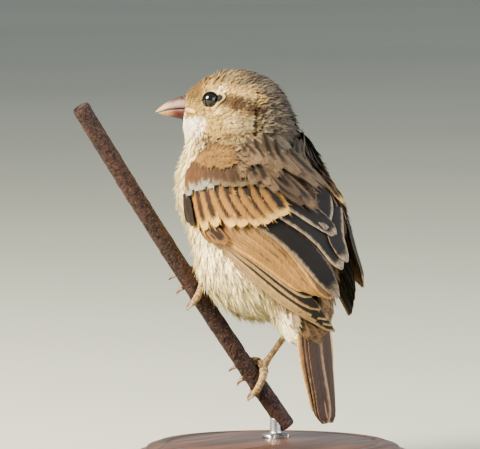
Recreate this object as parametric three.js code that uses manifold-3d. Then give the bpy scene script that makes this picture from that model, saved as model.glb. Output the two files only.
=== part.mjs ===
// A house sparrow in brown plumage, perched on a short length of rusty iron rod over a round display base.
// Millimetres, +Z up. The trunk heads along -Y, so the bird's left is +X. The origin is the centre of the
// base's underside. Every outline is the outline of the plumage, out to the feather tips.

import * as THREE from "three";
import { mergeVertices } from "three/addons/utils/BufferGeometryUtils.js";
import Module from "manifold-3d";

const wasm = await Module();
wasm.setup();

const { PI, cos, sin, max, min, abs, hypot, sqrt } = Math;
const rad = THREE.MathUtils.degToRad;
const lerp = THREE.MathUtils.lerp;
const smooth = (x, a, b) => THREE.MathUtils.smoothstep(x, a, b);
const Vec = THREE.Vector3;

// ---------------------------------------------------------------- driving dimensions

const GAP = 0.3; // clear space between neighbouring pieces
const BODY_HEIGHT = 84; // trunk centre above the table
const BODY_BACK = 4; // trunk centre in front of the base's centre
const BODY_SIDE = 3; // trunk centre to the left of the base's centre
const TRUNK_PITCH = rad(62); // trunk axis above the horizontal
const HEAD_YAW = rad(33); // head turned to the bird's left
const HEAD_AT = [10.4, 4.6, 38.0]; // head centre from the trunk centre: forward, left, up

const EYE_RADIUS = 2.9;
const EYE_AT = [4.0, 8.4, 0.7]; // eye centre from the head centre: forward, left, up
const BILL_BASE = [11.2, -2.7]; // middle of the bill's root from the head centre: forward, up
const BILL_LENGTH = 12.2;
const BILL_DROP = rad(5);
const BILL_WIDTH = 8.2;
const CULMEN_HEIGHT = 4.3;
const GONYS_DEPTH = 4.2;

const TAIL_ROOT = [-36, 6.4]; // tail root from the trunk centre: along the trunk axis, dorsal
const TAIL_LENGTH = 40.5;
const TAIL_PITCH = rad(84);
const TAIL_WIDTH = 18.5;
const TAIL_THICKNESS = 1.7;
const TAIL_LEAN = 2.4; // how far its tip stands to the right of the midline

const WING_THICKNESS = 2.6; // where the folded wing stands off the trunk
const WING_EDGE = 0.7; // its thinnest edge

const PERCH_RADIUS = 3;
const PERCH_FOOT_RIGHT = [8.3, -8, -54.2]; // perch axis at the right foot: forward, left, up
const PERCH_FOOT_LEFT = [18.1, 9, -25.3]; // perch axis at the left foot
const PERCH_BEYOND_LEFT = 75; // perch length above the left foot
const PERCH_BEYOND_RIGHT = 22; // perch length below the right foot
const PERCH_BOW = 1.1; // how far the rod's middle bows

const TARSUS_RADIUS = 1.0;
const TOE_RADIUS = 1.0;
const CLAW_RADIUS = 0.62;

const BASE_RADIUS = 47;
const BASE_THICKNESS = 8;
const STAND_ROD_RADIUS = 2;

// ---------------------------------------------------------------- frames

// A point from forward, left and up distances: the trunk heads along -Y.
const place = (forward, left, up) => new Vec(left, -forward, up);

// The trunk's own frame: along its axis towards the head, dorsal, and left.
const AXIS = place(cos(TRUNK_PITCH), 0, sin(TRUNK_PITCH));
const DORSAL = place(-sin(TRUNK_PITCH), 0, cos(TRUNK_PITCH));
const LEFT = place(0, 1, 0);
const inTrunk = (s, d, l = 0) =>
  AXIS.clone().multiplyScalar(s).addScaledVector(DORSAL, d).addScaledVector(LEFT, l);

// The head's own frame: forward, left and up, turned about the vertical.
const HEAD = place(...HEAD_AT);
const HEAD_FORWARD = place(cos(HEAD_YAW), sin(HEAD_YAW), 0);
const HEAD_LEFT = place(-sin(HEAD_YAW), cos(HEAD_YAW), 0);
const UP = new Vec(0, 0, 1);
const inHead = (f, l, u) =>
  HEAD.clone().addScaledVector(HEAD_FORWARD, f).addScaledVector(HEAD_LEFT, l).addScaledVector(UP, u);

// ---------------------------------------------------------------- the body as blended ellipsoids

// One ellipsoid: its centre, its three radii, and the three unit directions that they lie along.
const lobe = (centre, radii, directions, blend) => ({ centre, radii, directions, blend });
const TRUNK_DIRECTIONS = [AXIS, DORSAL, LEFT];
const HEAD_DIRECTIONS = [HEAD_FORWARD, UP, HEAD_LEFT];

const BODY = [
  lobe(inTrunk(0, -0.3), [33, 22.8, 21.8], TRUNK_DIRECTIONS, 6), // rib cage and back
  lobe(inTrunk(12, -4.2, 0.4), [19, 20.2, 21], TRUNK_DIRECTIONS, 6), // breast
  lobe(inTrunk(-12, -9.5), [21, 17, 22], TRUNK_DIRECTIONS, 6), // belly
  lobe(inTrunk(-30, 4), [15, 8.5, 9.5], TRUNK_DIRECTIONS, 7), // rump
  lobe(inTrunk(-36, -2), [11, 6, 6.5], TRUNK_DIRECTIONS, 6), // undertail coverts
  lobe(place(4.2, 1.2, 24), [18, 20, 16], HEAD_DIRECTIONS, 6), // neck
  lobe(inHead(-3.5, 0, 0.2), [14.5, 10.4, 11.4], HEAD_DIRECTIONS, 5), // skull
  lobe(inHead(-8, 0, -5), [13, 12, 12.4], HEAD_DIRECTIONS, 5), // nape
  lobe(inHead(3.2, 0, -7.2), [10.6, 8.4, 9.8], HEAD_DIRECTIONS, 5), // cheeks and throat
  lobe(inHead(8.5, 0, -2.0), [5.8, 5.6, 5.6], HEAD_DIRECTIONS, 4), // face round the bill's root
];

// Signed distance, near enough, from one ellipsoid.
function lobeDistance(p, { centre, radii, directions }) {
  const from = p.clone().sub(centre);
  const q = directions.map((direction, i) => from.dot(direction) / radii[i]);
  const k0 = hypot(...q);
  const k1 = hypot(...q.map((x, i) => x / radii[i]));
  return k0 < 1e-9 ? -min(...radii) : (k0 * (k0 - 1)) / k1;
}

// Signed distance from all the ellipsoids, each blended into those before it.
function bodyDistance(p) {
  let distance = lobeDistance(p, BODY[0]);
  for (const item of BODY.slice(1)) {
    const other = lobeDistance(p, item);
    const share = max(item.blend - abs(distance - other), 0) / item.blend;
    distance = min(distance, other) - (share * share * item.blend) / 4;
  }
  return distance;
}

// How far the body's surface lies from a point inside it, along a unit direction.
function reach(origin, direction, furthest = 70) {
  let low = 0;
  let high = furthest;
  for (let step = 0; step < 28; step++) {
    const middle = (low + high) / 2;
    if (bodyDistance(origin.clone().addScaledVector(direction, middle)) < 0) low = middle;
    else high = middle;
  }
  return low;
}

// ---------------------------------------------------------------- solids

// Puts every vertex of a closed three.js geometry where the function says.
function shaped(geometry, where) {
  const positions = geometry.getAttribute("position");
  for (let i = 0; i < positions.count; i++) {
    const to = where(new Vec().fromBufferAttribute(positions, i));
    positions.setXYZ(i, to.x, to.y, to.z);
  }
  return geometry;
}

// A geometry as a solid that can be cut and joined, turned the right way out.
function solid(geometry) {
  const bare = geometry.index ? geometry.toNonIndexed() : geometry.clone();
  for (const name of Object.keys(bare.attributes)) if (name !== "position") bare.deleteAttribute(name);
  const merged = mergeVertices(bare, 1e-4);
  const build = (triVerts) =>
    new wasm.Manifold(new wasm.Mesh({ numProp: 3, vertProperties: merged.attributes.position.array, triVerts }));
  const triVerts = new Uint32Array(merged.index.array);
  const made = build(triVerts);
  if (made.volume() >= 0) return made;
  return build(triVerts.map((_, i, all) => all[i - (i % 3) + ((3 - (i % 3)) % 3)]));
}

// The largest body of a solid, as a BufferGeometry with flat faces.
function geometryOf(made) {
  const largest = made.decompose().sort((a, b) => b.volume() - a.volume())[0];
  const { numProp, vertProperties, triVerts } = largest.getMesh();
  const points = new Float32Array(triVerts.length * 3);
  triVerts.forEach((v, i) => points.set(vertProperties.subarray(v * numProp, v * numProp + 3), i * 3));
  const geometry = new THREE.BufferGeometry();
  geometry.setAttribute("position", new THREE.BufferAttribute(points, 3));
  geometry.computeVertexNormals();
  return geometry;
}

// The body's outline round a point inside it, as one closed ball pulled out to the surface.
function blob(origin, pole, around, along, grow = 0) {
  const turn = new THREE.Quaternion().setFromUnitVectors(new Vec(0, 1, 0), pole);
  return solid(
    shaped(new THREE.SphereGeometry(1, around, along), (v) => {
      const direction = v.normalize().applyQuaternion(turn);
      return origin.clone().addScaledVector(direction, reach(origin, direction) + grow);
    }),
  );
}

// A closed tube along a curve. section(angle, t) gives the offset from the curve's point at t.
function tube(pointAt, section, around, along) {
  return solid(
    shaped(new THREE.CylinderGeometry(1, 1, 1, around, along), (v) => {
      const t = v.y + 0.5;
      return pointAt(t).addScaledVector(section(Math.atan2(v.x, v.z), t), min(1, hypot(v.x, v.z)));
    }),
  );
}

// A round tapering tube along a curve, its sections square to the curve.
function taperedTube(pointAt, radiusAt, around, along, side = UP) {
  const frame = (t) => {
    const forward = pointAt(min(1, t + 0.01)).sub(pointAt(max(0, t - 0.01))).normalize();
    const across = new Vec().crossVectors(forward, side).normalize();
    return [across, new Vec().crossVectors(across, forward)];
  };
  const section = (angle, t) => {
    const [a, b] = frame(t);
    return a.multiplyScalar(cos(angle) * radiusAt(t)).addScaledVector(b, sin(angle) * radiusAt(t));
  };
  return tube(pointAt, section, around, along);
}

// ---------------------------------------------------------------- the perch and the stand

const perchLeft = place(...PERCH_FOOT_LEFT);
const perchRight = place(...PERCH_FOOT_RIGHT);
const PERCH_DIRECTION = perchLeft.clone().sub(perchRight).normalize();
const FEET_APART = perchLeft.distanceTo(perchRight);
// Two directions square to the perch: towards the bird's back, and over the perch.
const PERCH_BACK = new Vec().crossVectors(UP, PERCH_DIRECTION).normalize();
const PERCH_OVER = new Vec().crossVectors(PERCH_DIRECTION, PERCH_BACK).normalize();

// The perch's axis, from the right foot at 0 to the left foot at FEET_APART.
function perchAt(along) {
  const share = (along + PERCH_BEYOND_RIGHT) / (FEET_APART + PERCH_BEYOND_LEFT + PERCH_BEYOND_RIGHT);
  const bow = PERCH_BOW * (1 - (2 * share - 1) ** 2);
  return perchRight.clone().addScaledVector(PERCH_DIRECTION, along).addScaledVector(PERCH_OVER, -bow);
}

function perchSolid(grow = 0) {
  const pointAt = (t) => perchAt(lerp(-PERCH_BEYOND_RIGHT, FEET_APART + PERCH_BEYOND_LEFT, t));
  return taperedTube(pointAt, () => PERCH_RADIUS + grow, 14, 8);
}

// A turned disc with a stepped, rounded rim.
function standBase(centre, bottom) {
  const rim = [
    [0, 0], [BASE_RADIUS - 1, 0], [BASE_RADIUS, 1], [BASE_RADIUS, 3.6],
    [BASE_RADIUS - 3, 5], [BASE_RADIUS - 5, 7.2], [BASE_RADIUS - 8, BASE_THICKNESS], [0, BASE_THICKNESS],
  ].map(([r, z]) => new THREE.Vector2(r, z));
  const lathe = new THREE.LatheGeometry(rim, 40);
  lathe.rotateX(PI / 2);
  lathe.translate(centre.x, centre.y, bottom);
  return solid(lathe);
}

// An upright rod from the base to the perch, its top hollowed to fit under it.
function standRod(foot, top) {
  const rod = new THREE.CylinderGeometry(STAND_ROD_RADIUS, STAND_ROD_RADIUS, top - foot.z, 16, 1);
  rod.rotateX(PI / 2);
  rod.translate(foot.x, foot.y, (top + foot.z) / 2);
  return solid(rod).subtract(perchSolid(GAP));
}

// ---------------------------------------------------------------- head, bill and eyes

// The bill's own directions: towards its tip and over its ridge.
const BILL_TIPWARD = HEAD_FORWARD.clone().multiplyScalar(cos(BILL_DROP))
  .addScaledVector(UP, -sin(BILL_DROP));
const BILL_OVER = UP.clone().multiplyScalar(cos(BILL_DROP)).addScaledVector(HEAD_FORWARD, sin(BILL_DROP));
const BILL_ROOT = inHead(BILL_BASE[0], 0, BILL_BASE[1]);
const billPoint = (along, side, over) =>
  BILL_ROOT.clone().addScaledVector(BILL_TIPWARD, along).addScaledVector(HEAD_LEFT, side)
    .addScaledVector(BILL_OVER, over);

// Half the bill: its ridge, or its keel, and flat along the line where the two halves meet.
function billHalf(upper) {
  const way = upper ? 1 : -1;
  const length = upper ? BILL_LENGTH : BILL_LENGTH - 0.8;
  // A conical bill: wide at the root, its ridge convex and its sides running to a fine tip.
  const widthAt = (t) => (BILL_WIDTH / 2) * (1 - t ** 1.25) ** 0.92 + 0.12;
  const height = upper ? CULMEN_HEIGHT : GONYS_DEPTH;
  const heightAt = (t) => height * (1 - t ** (upper ? 1.7 : 1.35)) ** 0.9 + 0.12;
  // The cutting edge arches a little, then dips to the tip.
  const gapeAt = (t) => 0.5 * sin(PI * t) - 0.35 * t;
  return solid(
    shaped(new THREE.CylinderGeometry(1, 1, 1, 14, 8), (v) => {
      const t = v.y + 0.5;
      const angle = Math.atan2(v.z, v.x);
      const fill = min(1, hypot(v.x, v.z));
      const lift = lerp(heightAt(t) * 0.4, max(0, sin(angle)) ** 0.85 * heightAt(t), fill);
      return billPoint(t * length, fill * cos(angle) * widthAt(t), gapeAt(t) + way * (lift + GAP / 2));
    }),
  );
}

// The hollow in the face that the root of the bill sits in.
function billSocket() {
  return solid(
    shaped(new THREE.CylinderGeometry(1, 1, 1, 16, 1), (v) => {
      const over = v.z > 0 ? CULMEN_HEIGHT : GONYS_DEPTH;
      const narrow = 1 - 0.06 * (v.y + 0.5);
      const at = [(v.y + 0.5) * 8 - GAP, v.x * (BILL_WIDTH / 2 + 0.5) * narrow, v.z * (over + 0.75) * narrow];
      return billPoint(...at);
    }),
  );
}

function eyeBall(side, grow = 0) {
  const ball = new THREE.SphereGeometry(EYE_RADIUS + grow, 12, 8);
  const at = inHead(EYE_AT[0], side * EYE_AT[1], EYE_AT[2]);
  return solid(ball.translate(at.x, at.y, at.z));
}

// The three lengths of the body, parted by thin cuts across the neck.
const NECK_CUT_NORMAL = place(0.16, 0.1, 0.98).normalize();
const NECK_TOP = inHead(-2, 0, -11.6);
const NECK_BOTTOM = place(4, 0, 19.5);

function bodySolids() {
  const above = (made, at) => made.trimByPlane(NECK_CUT_NORMAL.toArray(), NECK_CUT_NORMAL.dot(at) + GAP / 2);
  const below = (made, at) =>
    made.trimByPlane(NECK_CUT_NORMAL.clone().negate().toArray(), -NECK_CUT_NORMAL.dot(at) + GAP / 2);
  const trunk = blob(inTrunk(-4, -1), AXIS, 28, 20);
  const middle = blob(place(5, 1, 23), UP, 24, 18);
  const head = blob(inHead(-1, 0, -2), HEAD_FORWARD, 26, 18);
  return {
    trunk: below(trunk, NECK_BOTTOM).subtract(perchSolid(GAP)),
    neck: below(above(middle, NECK_BOTTOM), NECK_TOP),
    head: above(head, NECK_TOP),
  };
}

// ---------------------------------------------------------------- wings and tail

// A point round the trunk's axis: along it, turned from the back towards the left, and out from it.
const round = (s, turn, out) => inTrunk(s, out * cos(rad(turn)), out * sin(rad(turn)));

// A smooth run through [along the wing, along the trunk, turn, out] rows.
function run(rows) {
  const knots = rows.map(([s, turn, out]) => new Vec(s, turn, out));
  const curve = new THREE.CatmullRomCurve3(knots, false, "centripetal");
  return (t) => curve.getPoint(t);
}

// The folded wing lies round the trunk between its leading edge, which runs from the wrist at the breast
// to the primaries' tips, and its upper edge, which runs from the shoulder to the tertials' tips. The left
// wing lies close over the rump; the right one hangs a little clear of it.
const WINGS = [
  {
    name: "left",
    side: 1,
    leading: run([
      [10, 110, 25.4], [-4, 105, 25.8], [-18, 91, 24.6],
      [-32.3, 77, 17.6], [-42, 50, 13.6], [-50.5, -20, 10.6],
    ]),
    upper: run([
      [17, 50, 23.5], [5.6, 42, 25], [-9, 20, 25.6], [-21, 4, 25], [-31.5, 3, 24.4], [-44, -4, 17.5],
    ]),
  },
  {
    name: "right",
    side: -1,
    leading: run([
      [10, 110, 25.4], [-4, 105, 26.2], [-18, 94, 26.4], [-32, 78, 23], [-41, 62, 20.5], [-47, 36, 18],
    ]),
    upper: run([
      [17, 50, 24], [5.6, 42, 26], [-9, 22, 27.2], [-21, 9, 27.4], [-32, 12, 26.6], [-42, 26, 21.5],
    ]),
  },
];
const SHOULDER_BULGE = 7.5; // the shoulder's forward curve, along the trunk
const WING_SEGMENTS = [17, 8];
const WING_TIP_FROM = 0.78; // the wing narrows from here to its tip

// A wing's outer surface at u from wrist to tip and v from the leading to the upper edge.
function wingPlace(wing, u, v) {
  const at = wing.leading(u).lerp(wing.upper(u), v);
  at.x += SHOULDER_BULGE * 4 * v * (1 - v) * (1 - smooth(u, 0, 0.35));
  at.z += 1.2 * sin(PI * v) * (1 - u);
  return at;
}

function wingSolid(wing) {
  const box = new THREE.BoxGeometry(1, 1, 1, ...WING_SEGMENTS, 1);
  return solid(
    shaped(box, (p) => {
      const u = p.x + 0.5;
      const v = (p.y + 0.5) * lerp(1, 0.3, smooth(u, WING_TIP_FROM, 1));
      const { x: s, y: turn, z: out } = wingPlace(wing, u, v);
      const sides = sqrt(max(0, sin(PI * (p.y + 0.5))));
      const rim = sides * sqrt(min(1, u / 0.06)) * sqrt(min(1, (1 - u) / 0.04));
      const seat = reach(inTrunk(s, 0), round(0, wing.side * turn, 1), 60) + GAP;
      const hug = lerp(2.4, 14, smooth(u, 0.05, 0.5)); // the shoulder lies close, the long feathers stand off
      const top = min(out, seat + hug) - 0.6 * (1 - rim);
      const thick = max(WING_EDGE, WING_THICKNESS * (0.3 + 0.7 * rim) * lerp(1, 0.5, smooth(u, 0.5, 1)));
      const inner = max(top - thick, seat);
      return round(s, wing.side * turn, p.z < 0 ? inner : max(top, inner + WING_EDGE));
    }),
  );
}

// The tail: closed feathers, a little arched across, with a shallow notch at the tip.
function tailSolid(grow = 0) {
  const along = place(-cos(TAIL_PITCH), 0, -sin(TAIL_PITCH));
  const over = place(-sin(TAIL_PITCH), 0, cos(TAIL_PITCH));
  const root = inTrunk(...TAIL_ROOT);
  return solid(
    shaped(new THREE.BoxGeometry(1, 1, 1, 8, 12, 1), (p) => {
      const across = 2 * p.x;
      const t = p.y + 0.5;
      const half = (TAIL_WIDTH / 2) * lerp(0.8, 1, smooth(t, 0, 0.4)) * (1 - 0.6 * smooth(t, 0.5, 1.05));
      const notch = 1.8 * (1 - abs(across)) + 9 * max(0, abs(across) - 0.4) ** 2;
      const length = t * (TAIL_LENGTH - notch);
      const arch = -1.5 * across * across;
      const thick = TAIL_THICKNESS * lerp(1.5, 0.62, t) * (0.55 + 0.45 * (1 - across * across));
      return root.clone().addScaledVector(along, length - grow)
        .addScaledVector(LEFT, across * (half + grow) - TAIL_LEAN * lerp(0.35, 1, t))
        .addScaledVector(over, arch + (p.z < 0 ? -grow : thick + grow));
    }),
  );
}

// ---------------------------------------------------------------- legs and feet

// Round the perch: along it, turned about it from straight over the perch towards the bird's back.
function roundPerch(along, turn, out) {
  return perchAt(along)
    .addScaledVector(PERCH_OVER, out * cos(turn))
    .addScaledVector(PERCH_BACK, out * sin(turn));
}

const GRIP = PERCH_RADIUS + GAP + TOE_RADIUS * 1.1; // a toe's middle line from the perch's axis

// The toes: where each leaves the pad and how far it spreads, both along the perch; how far it and its
// claw wrap round the perch, in radians; and whether it goes round the back (1) or the front (-1).
const TOES = [
  { name: "hallux", lean: -0.6, spread: -5.2, start: 0.3, wrap: 2.35, claw: 0.75, way: 1 },
  { name: "inner", lean: 1.9, spread: 2.2, start: 0.2, wrap: 2.3, claw: 0.7, way: -1 },
  { name: "middle", lean: 0.0, spread: -0.6, start: 0.2, wrap: 2.6, claw: 0.75, way: -1 },
  { name: "outer", lean: -1.9, spread: -4.6, start: 0.2, wrap: 2.4, claw: 0.9, way: -1 },
];
const CLAW_FLARE = 1.5; // how far a claw's tip stands off the line of its toe

const LEGS = [
  {
    name: "left", at: FEET_APART + 3.6, turn: 0.35, ankle: [-1, 11, -12],
    hip: [3, 9.5, -10], cuff: [15.5, 12.6, -20], hipRadius: 6, cuffRadius: 4.2,
  },
  {
    name: "right", at: 0.4, turn: 0.3, ankle: [-7.8, -11.4, -35],
    hip: [-3.5, -9.5, -22], cuff: [-7.4, -11.2, -33.2], hipRadius: 6, cuffRadius: 3,
  },
];

// A curve on the way round the perch, its thickness square to it and level with the perch.
function wrapped(pointAt, radiusAt, around, along) {
  const section = (angle, t) => {
    const forward = pointAt(t + 0.02).sub(pointAt(t - 0.02)).normalize();
    const across = PERCH_DIRECTION.clone()
      .addScaledVector(forward, -PERCH_DIRECTION.dot(forward)).normalize();
    const out = new Vec().crossVectors(forward, across);
    const radius = radiusAt(t);
    return across.multiplyScalar(cos(angle) * radius).addScaledVector(out, sin(angle) * radius);
  };
  return tube(pointAt, section, around, along);
}

function toeSolid(leg, toe, grow = 0) {
  const turnAt = (t) => leg.turn + toe.way * lerp(toe.start, toe.wrap, t);
  const pointAt = (t) => roundPerch(leg.at + toe.lean + toe.spread * t, turnAt(t), GRIP);
  const radiusAt = (t) => TOE_RADIUS * (lerp(1.0, 0.72, t) + 0.1 * abs(sin(3 * PI * t))) + grow;
  return wrapped(pointAt, radiusAt, 6, 5);
}

// The claw hooks on from just past the toe's end and stands off to its point.
function clawSolid(leg, toe) {
  const slip = toe.way * 0.085;
  const turnAt = (t) => leg.turn + toe.way * (toe.wrap + toe.claw * t) + slip;
  const alongAt = (t) => leg.at + toe.lean + toe.spread * (1 + 0.22 * t);
  const pointAt = (t) => roundPerch(alongAt(t), turnAt(t), GRIP + CLAW_FLARE * sin(PI * 0.7 * max(0, t)));
  return wrapped(pointAt, (t) => CLAW_RADIUS * lerp(1, 0.2, t), 6, 4);
}

// The ball of the foot, lying on the perch.
function padSolid(leg, grow = 0) {
  const centre = roundPerch(leg.at, leg.turn, GRIP + 0.35);
  const out = centre.clone().sub(perchAt(leg.at)).normalize();
  const across = new Vec().crossVectors(out, PERCH_DIRECTION).normalize();
  return solid(
    shaped(new THREE.SphereGeometry(1, 10, 6), (v) =>
      centre.clone().addScaledVector(PERCH_DIRECTION, (2.6 + grow) * v.x)
        .addScaledVector(out, (1.25 + grow) * v.y).addScaledVector(across, (1.9 + grow) * v.z)),
  );
}

// The pad and the four toes in one, a little larger all round when the plumage is to keep clear of them.
const footSolid = (leg, grow = 0) =>
  TOES.reduce((all, toe) => all.add(toeSolid(leg, toe, grow)), padSolid(leg, grow));

// The whole bare leg is parted by a thin cut just over the toes: tarsus above, foot below.
function legSolids(leg) {
  const ankle = place(...leg.ankle);
  const foot = roundPerch(leg.at, leg.turn, GRIP + 0.4);
  const radiusAt = (t) => TARSUS_RADIUS * (1 + 0.35 * (1 - smooth(t, 0, 0.22)) + 0.35 * smooth(t, 0.8, 1));
  const shank = taperedTube((t) => ankle.clone().lerp(foot, t), radiusAt, 8, 6);
  const whole = footSolid(leg).add(shank);
  const up = ankle.clone().sub(foot).normalize();
  const at = foot.clone().addScaledVector(up, 1.7);
  const top = ankle.clone().addScaledVector(up, 0.5);
  return {
    tarsus: whole.trimByPlane(up.toArray(), up.dot(at) + GAP / 2),
    foot: whole.trimByPlane(up.clone().negate().toArray(), -up.dot(at) + GAP / 2),
    socket: taperedTube((t) => top.clone().lerp(foot, t), (t) => radiusAt(t) + GAP * 1.15, 8, 3),
  };
}

// The feathered thigh: an egg of plumage set into the trunk, its small end round the bare leg.
function thighSolid(leg, grow = 0) {
  const hip = place(...leg.hip);
  const cuff = place(...leg.cuff);
  const along = cuff.clone().sub(hip);
  const middle = hip.clone().lerp(cuff, 0.5);
  const turn = new THREE.Quaternion().setFromUnitVectors(new Vec(0, 1, 0), along.clone().normalize());
  const half = along.length() / 2;
  return solid(
    shaped(new THREE.SphereGeometry(1, 12, 8), (v) => {
      const fat = lerp(leg.hipRadius, leg.cuffRadius, (v.y + 1) / 2) + grow;
      return new Vec(v.x * fat, v.y * (half + grow), v.z * fat).applyQuaternion(turn).add(middle);
    }),
  );
}

// ---------------------------------------------------------------- the model

const paint = (colour, roughness, metalness = 0) =>
  new THREE.MeshStandardMaterial({ color: colour, roughness, metalness });
const plumage = paint(0xb09a78, 0.85);
const wingFeathers = paint(0x8a6f50, 0.75);
const tailFeathers = paint(0x7a6650, 0.75);
const horn = paint(0xc79a86, 0.45);
const eyeBlack = paint(0x120c0a, 0.08);
const legSkin = paint(0xb98d78, 0.6);
const rust = paint(0x6b4331, 0.9, 0.2);
const wood = paint(0x4a3322, 0.45);
const steel = paint(0x5c5f62, 0.4, 0.9);

const sparrow = new THREE.Group();
sparrow.position.set(BODY_SIDE, -BODY_BACK, BODY_HEIGHT);

function add(name, made, material) {
  const mesh = new THREE.Mesh(geometryOf(made), material);
  mesh.name = name;
  sparrow.add(mesh);
}

const { trunk, neck, head } = bodySolids();
const openings = [eyeBall(1, GAP), eyeBall(-1, GAP), billSocket()];
add("head", openings.reduce((all, opening) => all.subtract(opening), head), plumage);
add("neck", neck, plumage);
add("bill_upper", billHalf(true), horn);
add("bill_lower", billHalf(false), horn);
add("eye_left", eyeBall(1), eyeBlack);
add("eye_right", eyeBall(-1), eyeBlack);

for (const wing of WINGS) add(`wing_${wing.name}`, wingSolid(wing), wingFeathers);
add("tail", tailSolid(), tailFeathers);

let body = trunk.subtract(tailSolid(GAP));
for (const leg of LEGS) {
  const { tarsus, foot, socket } = legSolids(leg);
  const clear = footSolid(leg, GAP * 1.2).add(socket);
  body = body.subtract(thighSolid(leg, GAP)).subtract(clear);
  add(`thigh_${leg.name}`, thighSolid(leg).subtract(clear).subtract(perchSolid(GAP)), plumage);
  add(`tarsus_${leg.name}`, tarsus, legSkin);
  add(`foot_${leg.name}`, foot, legSkin);
  for (const toe of TOES) add(`claw_${leg.name}_${toe.name}`, clawSolid(leg, toe), horn);
}
add("trunk", body, plumage);
add("perch", perchSolid(), rust);

const floor = -BODY_HEIGHT;
const baseCentre = new Vec(-BODY_SIDE, BODY_BACK, 0);
add("stand_base", standBase(baseCentre, floor), wood);
const rodAt = perchAt(-PERCH_BEYOND_RIGHT + 7);
const rodFoot = new Vec(rodAt.x, rodAt.y, floor + BASE_THICKNESS + GAP);
add("stand_rod", standRod(rodFoot, rodAt.z), steel);

export default sparrow;
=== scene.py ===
"""A house sparrow, life size and still, perched on a cut length of rusty iron rod over a display base.

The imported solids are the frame. One skin takes the place of the solids of flesh, feathers of mesh lie over
it, and the bill, eyes, legs, perch and stand are made again in fine detail where the solids stand.
Lengths are in millimetres from the trunk's centre until a mesh is made. The finished scene is in metres.
"""

from __future__ import annotations

import logging
import math
from dataclasses import dataclass, field
from enum import Enum
from functools import partial
from typing import Callable, Sequence

import bpy
import numpy as np
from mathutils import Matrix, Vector

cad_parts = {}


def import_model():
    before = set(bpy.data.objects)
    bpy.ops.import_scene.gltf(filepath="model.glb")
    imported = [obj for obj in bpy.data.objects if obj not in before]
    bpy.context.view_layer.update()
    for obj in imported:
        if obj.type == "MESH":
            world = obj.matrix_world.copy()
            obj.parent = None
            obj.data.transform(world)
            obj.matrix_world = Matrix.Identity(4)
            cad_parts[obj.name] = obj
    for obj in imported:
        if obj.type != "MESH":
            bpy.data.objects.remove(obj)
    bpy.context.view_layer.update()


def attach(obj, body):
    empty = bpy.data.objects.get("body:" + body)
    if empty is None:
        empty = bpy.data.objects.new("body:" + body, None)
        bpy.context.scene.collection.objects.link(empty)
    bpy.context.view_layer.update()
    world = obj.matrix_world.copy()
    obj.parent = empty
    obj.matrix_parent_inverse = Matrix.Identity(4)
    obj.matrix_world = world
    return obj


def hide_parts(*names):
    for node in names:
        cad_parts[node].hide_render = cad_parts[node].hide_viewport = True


Array = np.ndarray
LOG = logging.getLogger("sparrow")

# ---------------------------------------------------------------- sizes shared with the solids

MM = 0.001
TRUNK_CENTRE = np.array([3.0, -4.0, 84.0])
TRUNK_PITCH = math.radians(62)
HEAD_YAW = math.radians(33)
GAP = 0.3
UP = np.array([0.0, 0.0, 1.0])


def place(forward: float, left: float, up: float) -> Array:
    """Gives a point or direction from its parts forward, left and up."""
    return np.array([left, -forward, up], float)


LEFT = place(0, 1, 0)
AXIS = place(math.cos(TRUNK_PITCH), 0, math.sin(TRUNK_PITCH))
DORSAL = place(-math.sin(TRUNK_PITCH), 0, math.cos(TRUNK_PITCH))
HEAD_FORWARD = place(math.cos(HEAD_YAW), math.sin(HEAD_YAW), 0)
HEAD_LEFT = place(-math.sin(HEAD_YAW), math.cos(HEAD_YAW), 0)
HEAD_CENTRE = place(10.4, 4.6, 38.0)
EYE_RADIUS = 2.9
EYE_AT = (4.0, 8.4, 0.7)


def in_trunk(along: float, dorsal: float, left: float = 0.0) -> Array:
    """Gives a point from its parts along the trunk's axis, dorsal and left."""
    return AXIS * along + DORSAL * dorsal + LEFT * left


def in_head(forward: float, left: float, up: float) -> Array:
    """Gives a point from its parts forward, left and up in the turned head."""
    return HEAD_CENTRE + HEAD_FORWARD * forward + HEAD_LEFT * left + UP * up


def smooth(x: Array | float, low: float, high: float) -> Array:
    """Rises smoothly from 0 at low to 1 at high.

    Args:
        x: The values to ease.
        low: Where the rise starts.
        high: Where the rise ends; it may lie below low, and then the rise runs backwards.

    Returns:
        The eased values.
    """
    t = np.clip((np.asarray(x, float) - low) / (high - low), 0, 1)
    return t * t * (3 - 2 * t)


def mix(a: Array | float, b: Array | float, share: Array | float) -> Array:
    """Blends from a to b by a share; per-point shares blend whole rows."""
    share = np.asarray(share, float)
    a, b = np.asarray(a, float), np.asarray(b, float)
    if share.ndim and max(a.ndim, b.ndim) > 0 and (a.shape[-1:] == (3,) or b.shape[-1:] == (3,)):
        share = share[..., None]
    return a + (b - a) * share


def unit(v: Array) -> Array:
    """Scales vectors to length one."""
    return v / np.maximum(np.linalg.norm(v, axis=-1, keepdims=True), 1e-9)


def dot(a: Array, b: Array) -> Array:
    """Takes the dot product of vectors row by row."""
    return (a * b).sum(-1)


def linear(code: str) -> Array:
    """Turns an sRGB hex colour into linear red, green and blue."""
    s = np.array([int(code[i:i + 2], 16) for i in (1, 3, 5)]) / 255
    return np.where(s <= 0.04045, s / 12.92, ((s + 0.055) / 1.055) ** 2.4)


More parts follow.
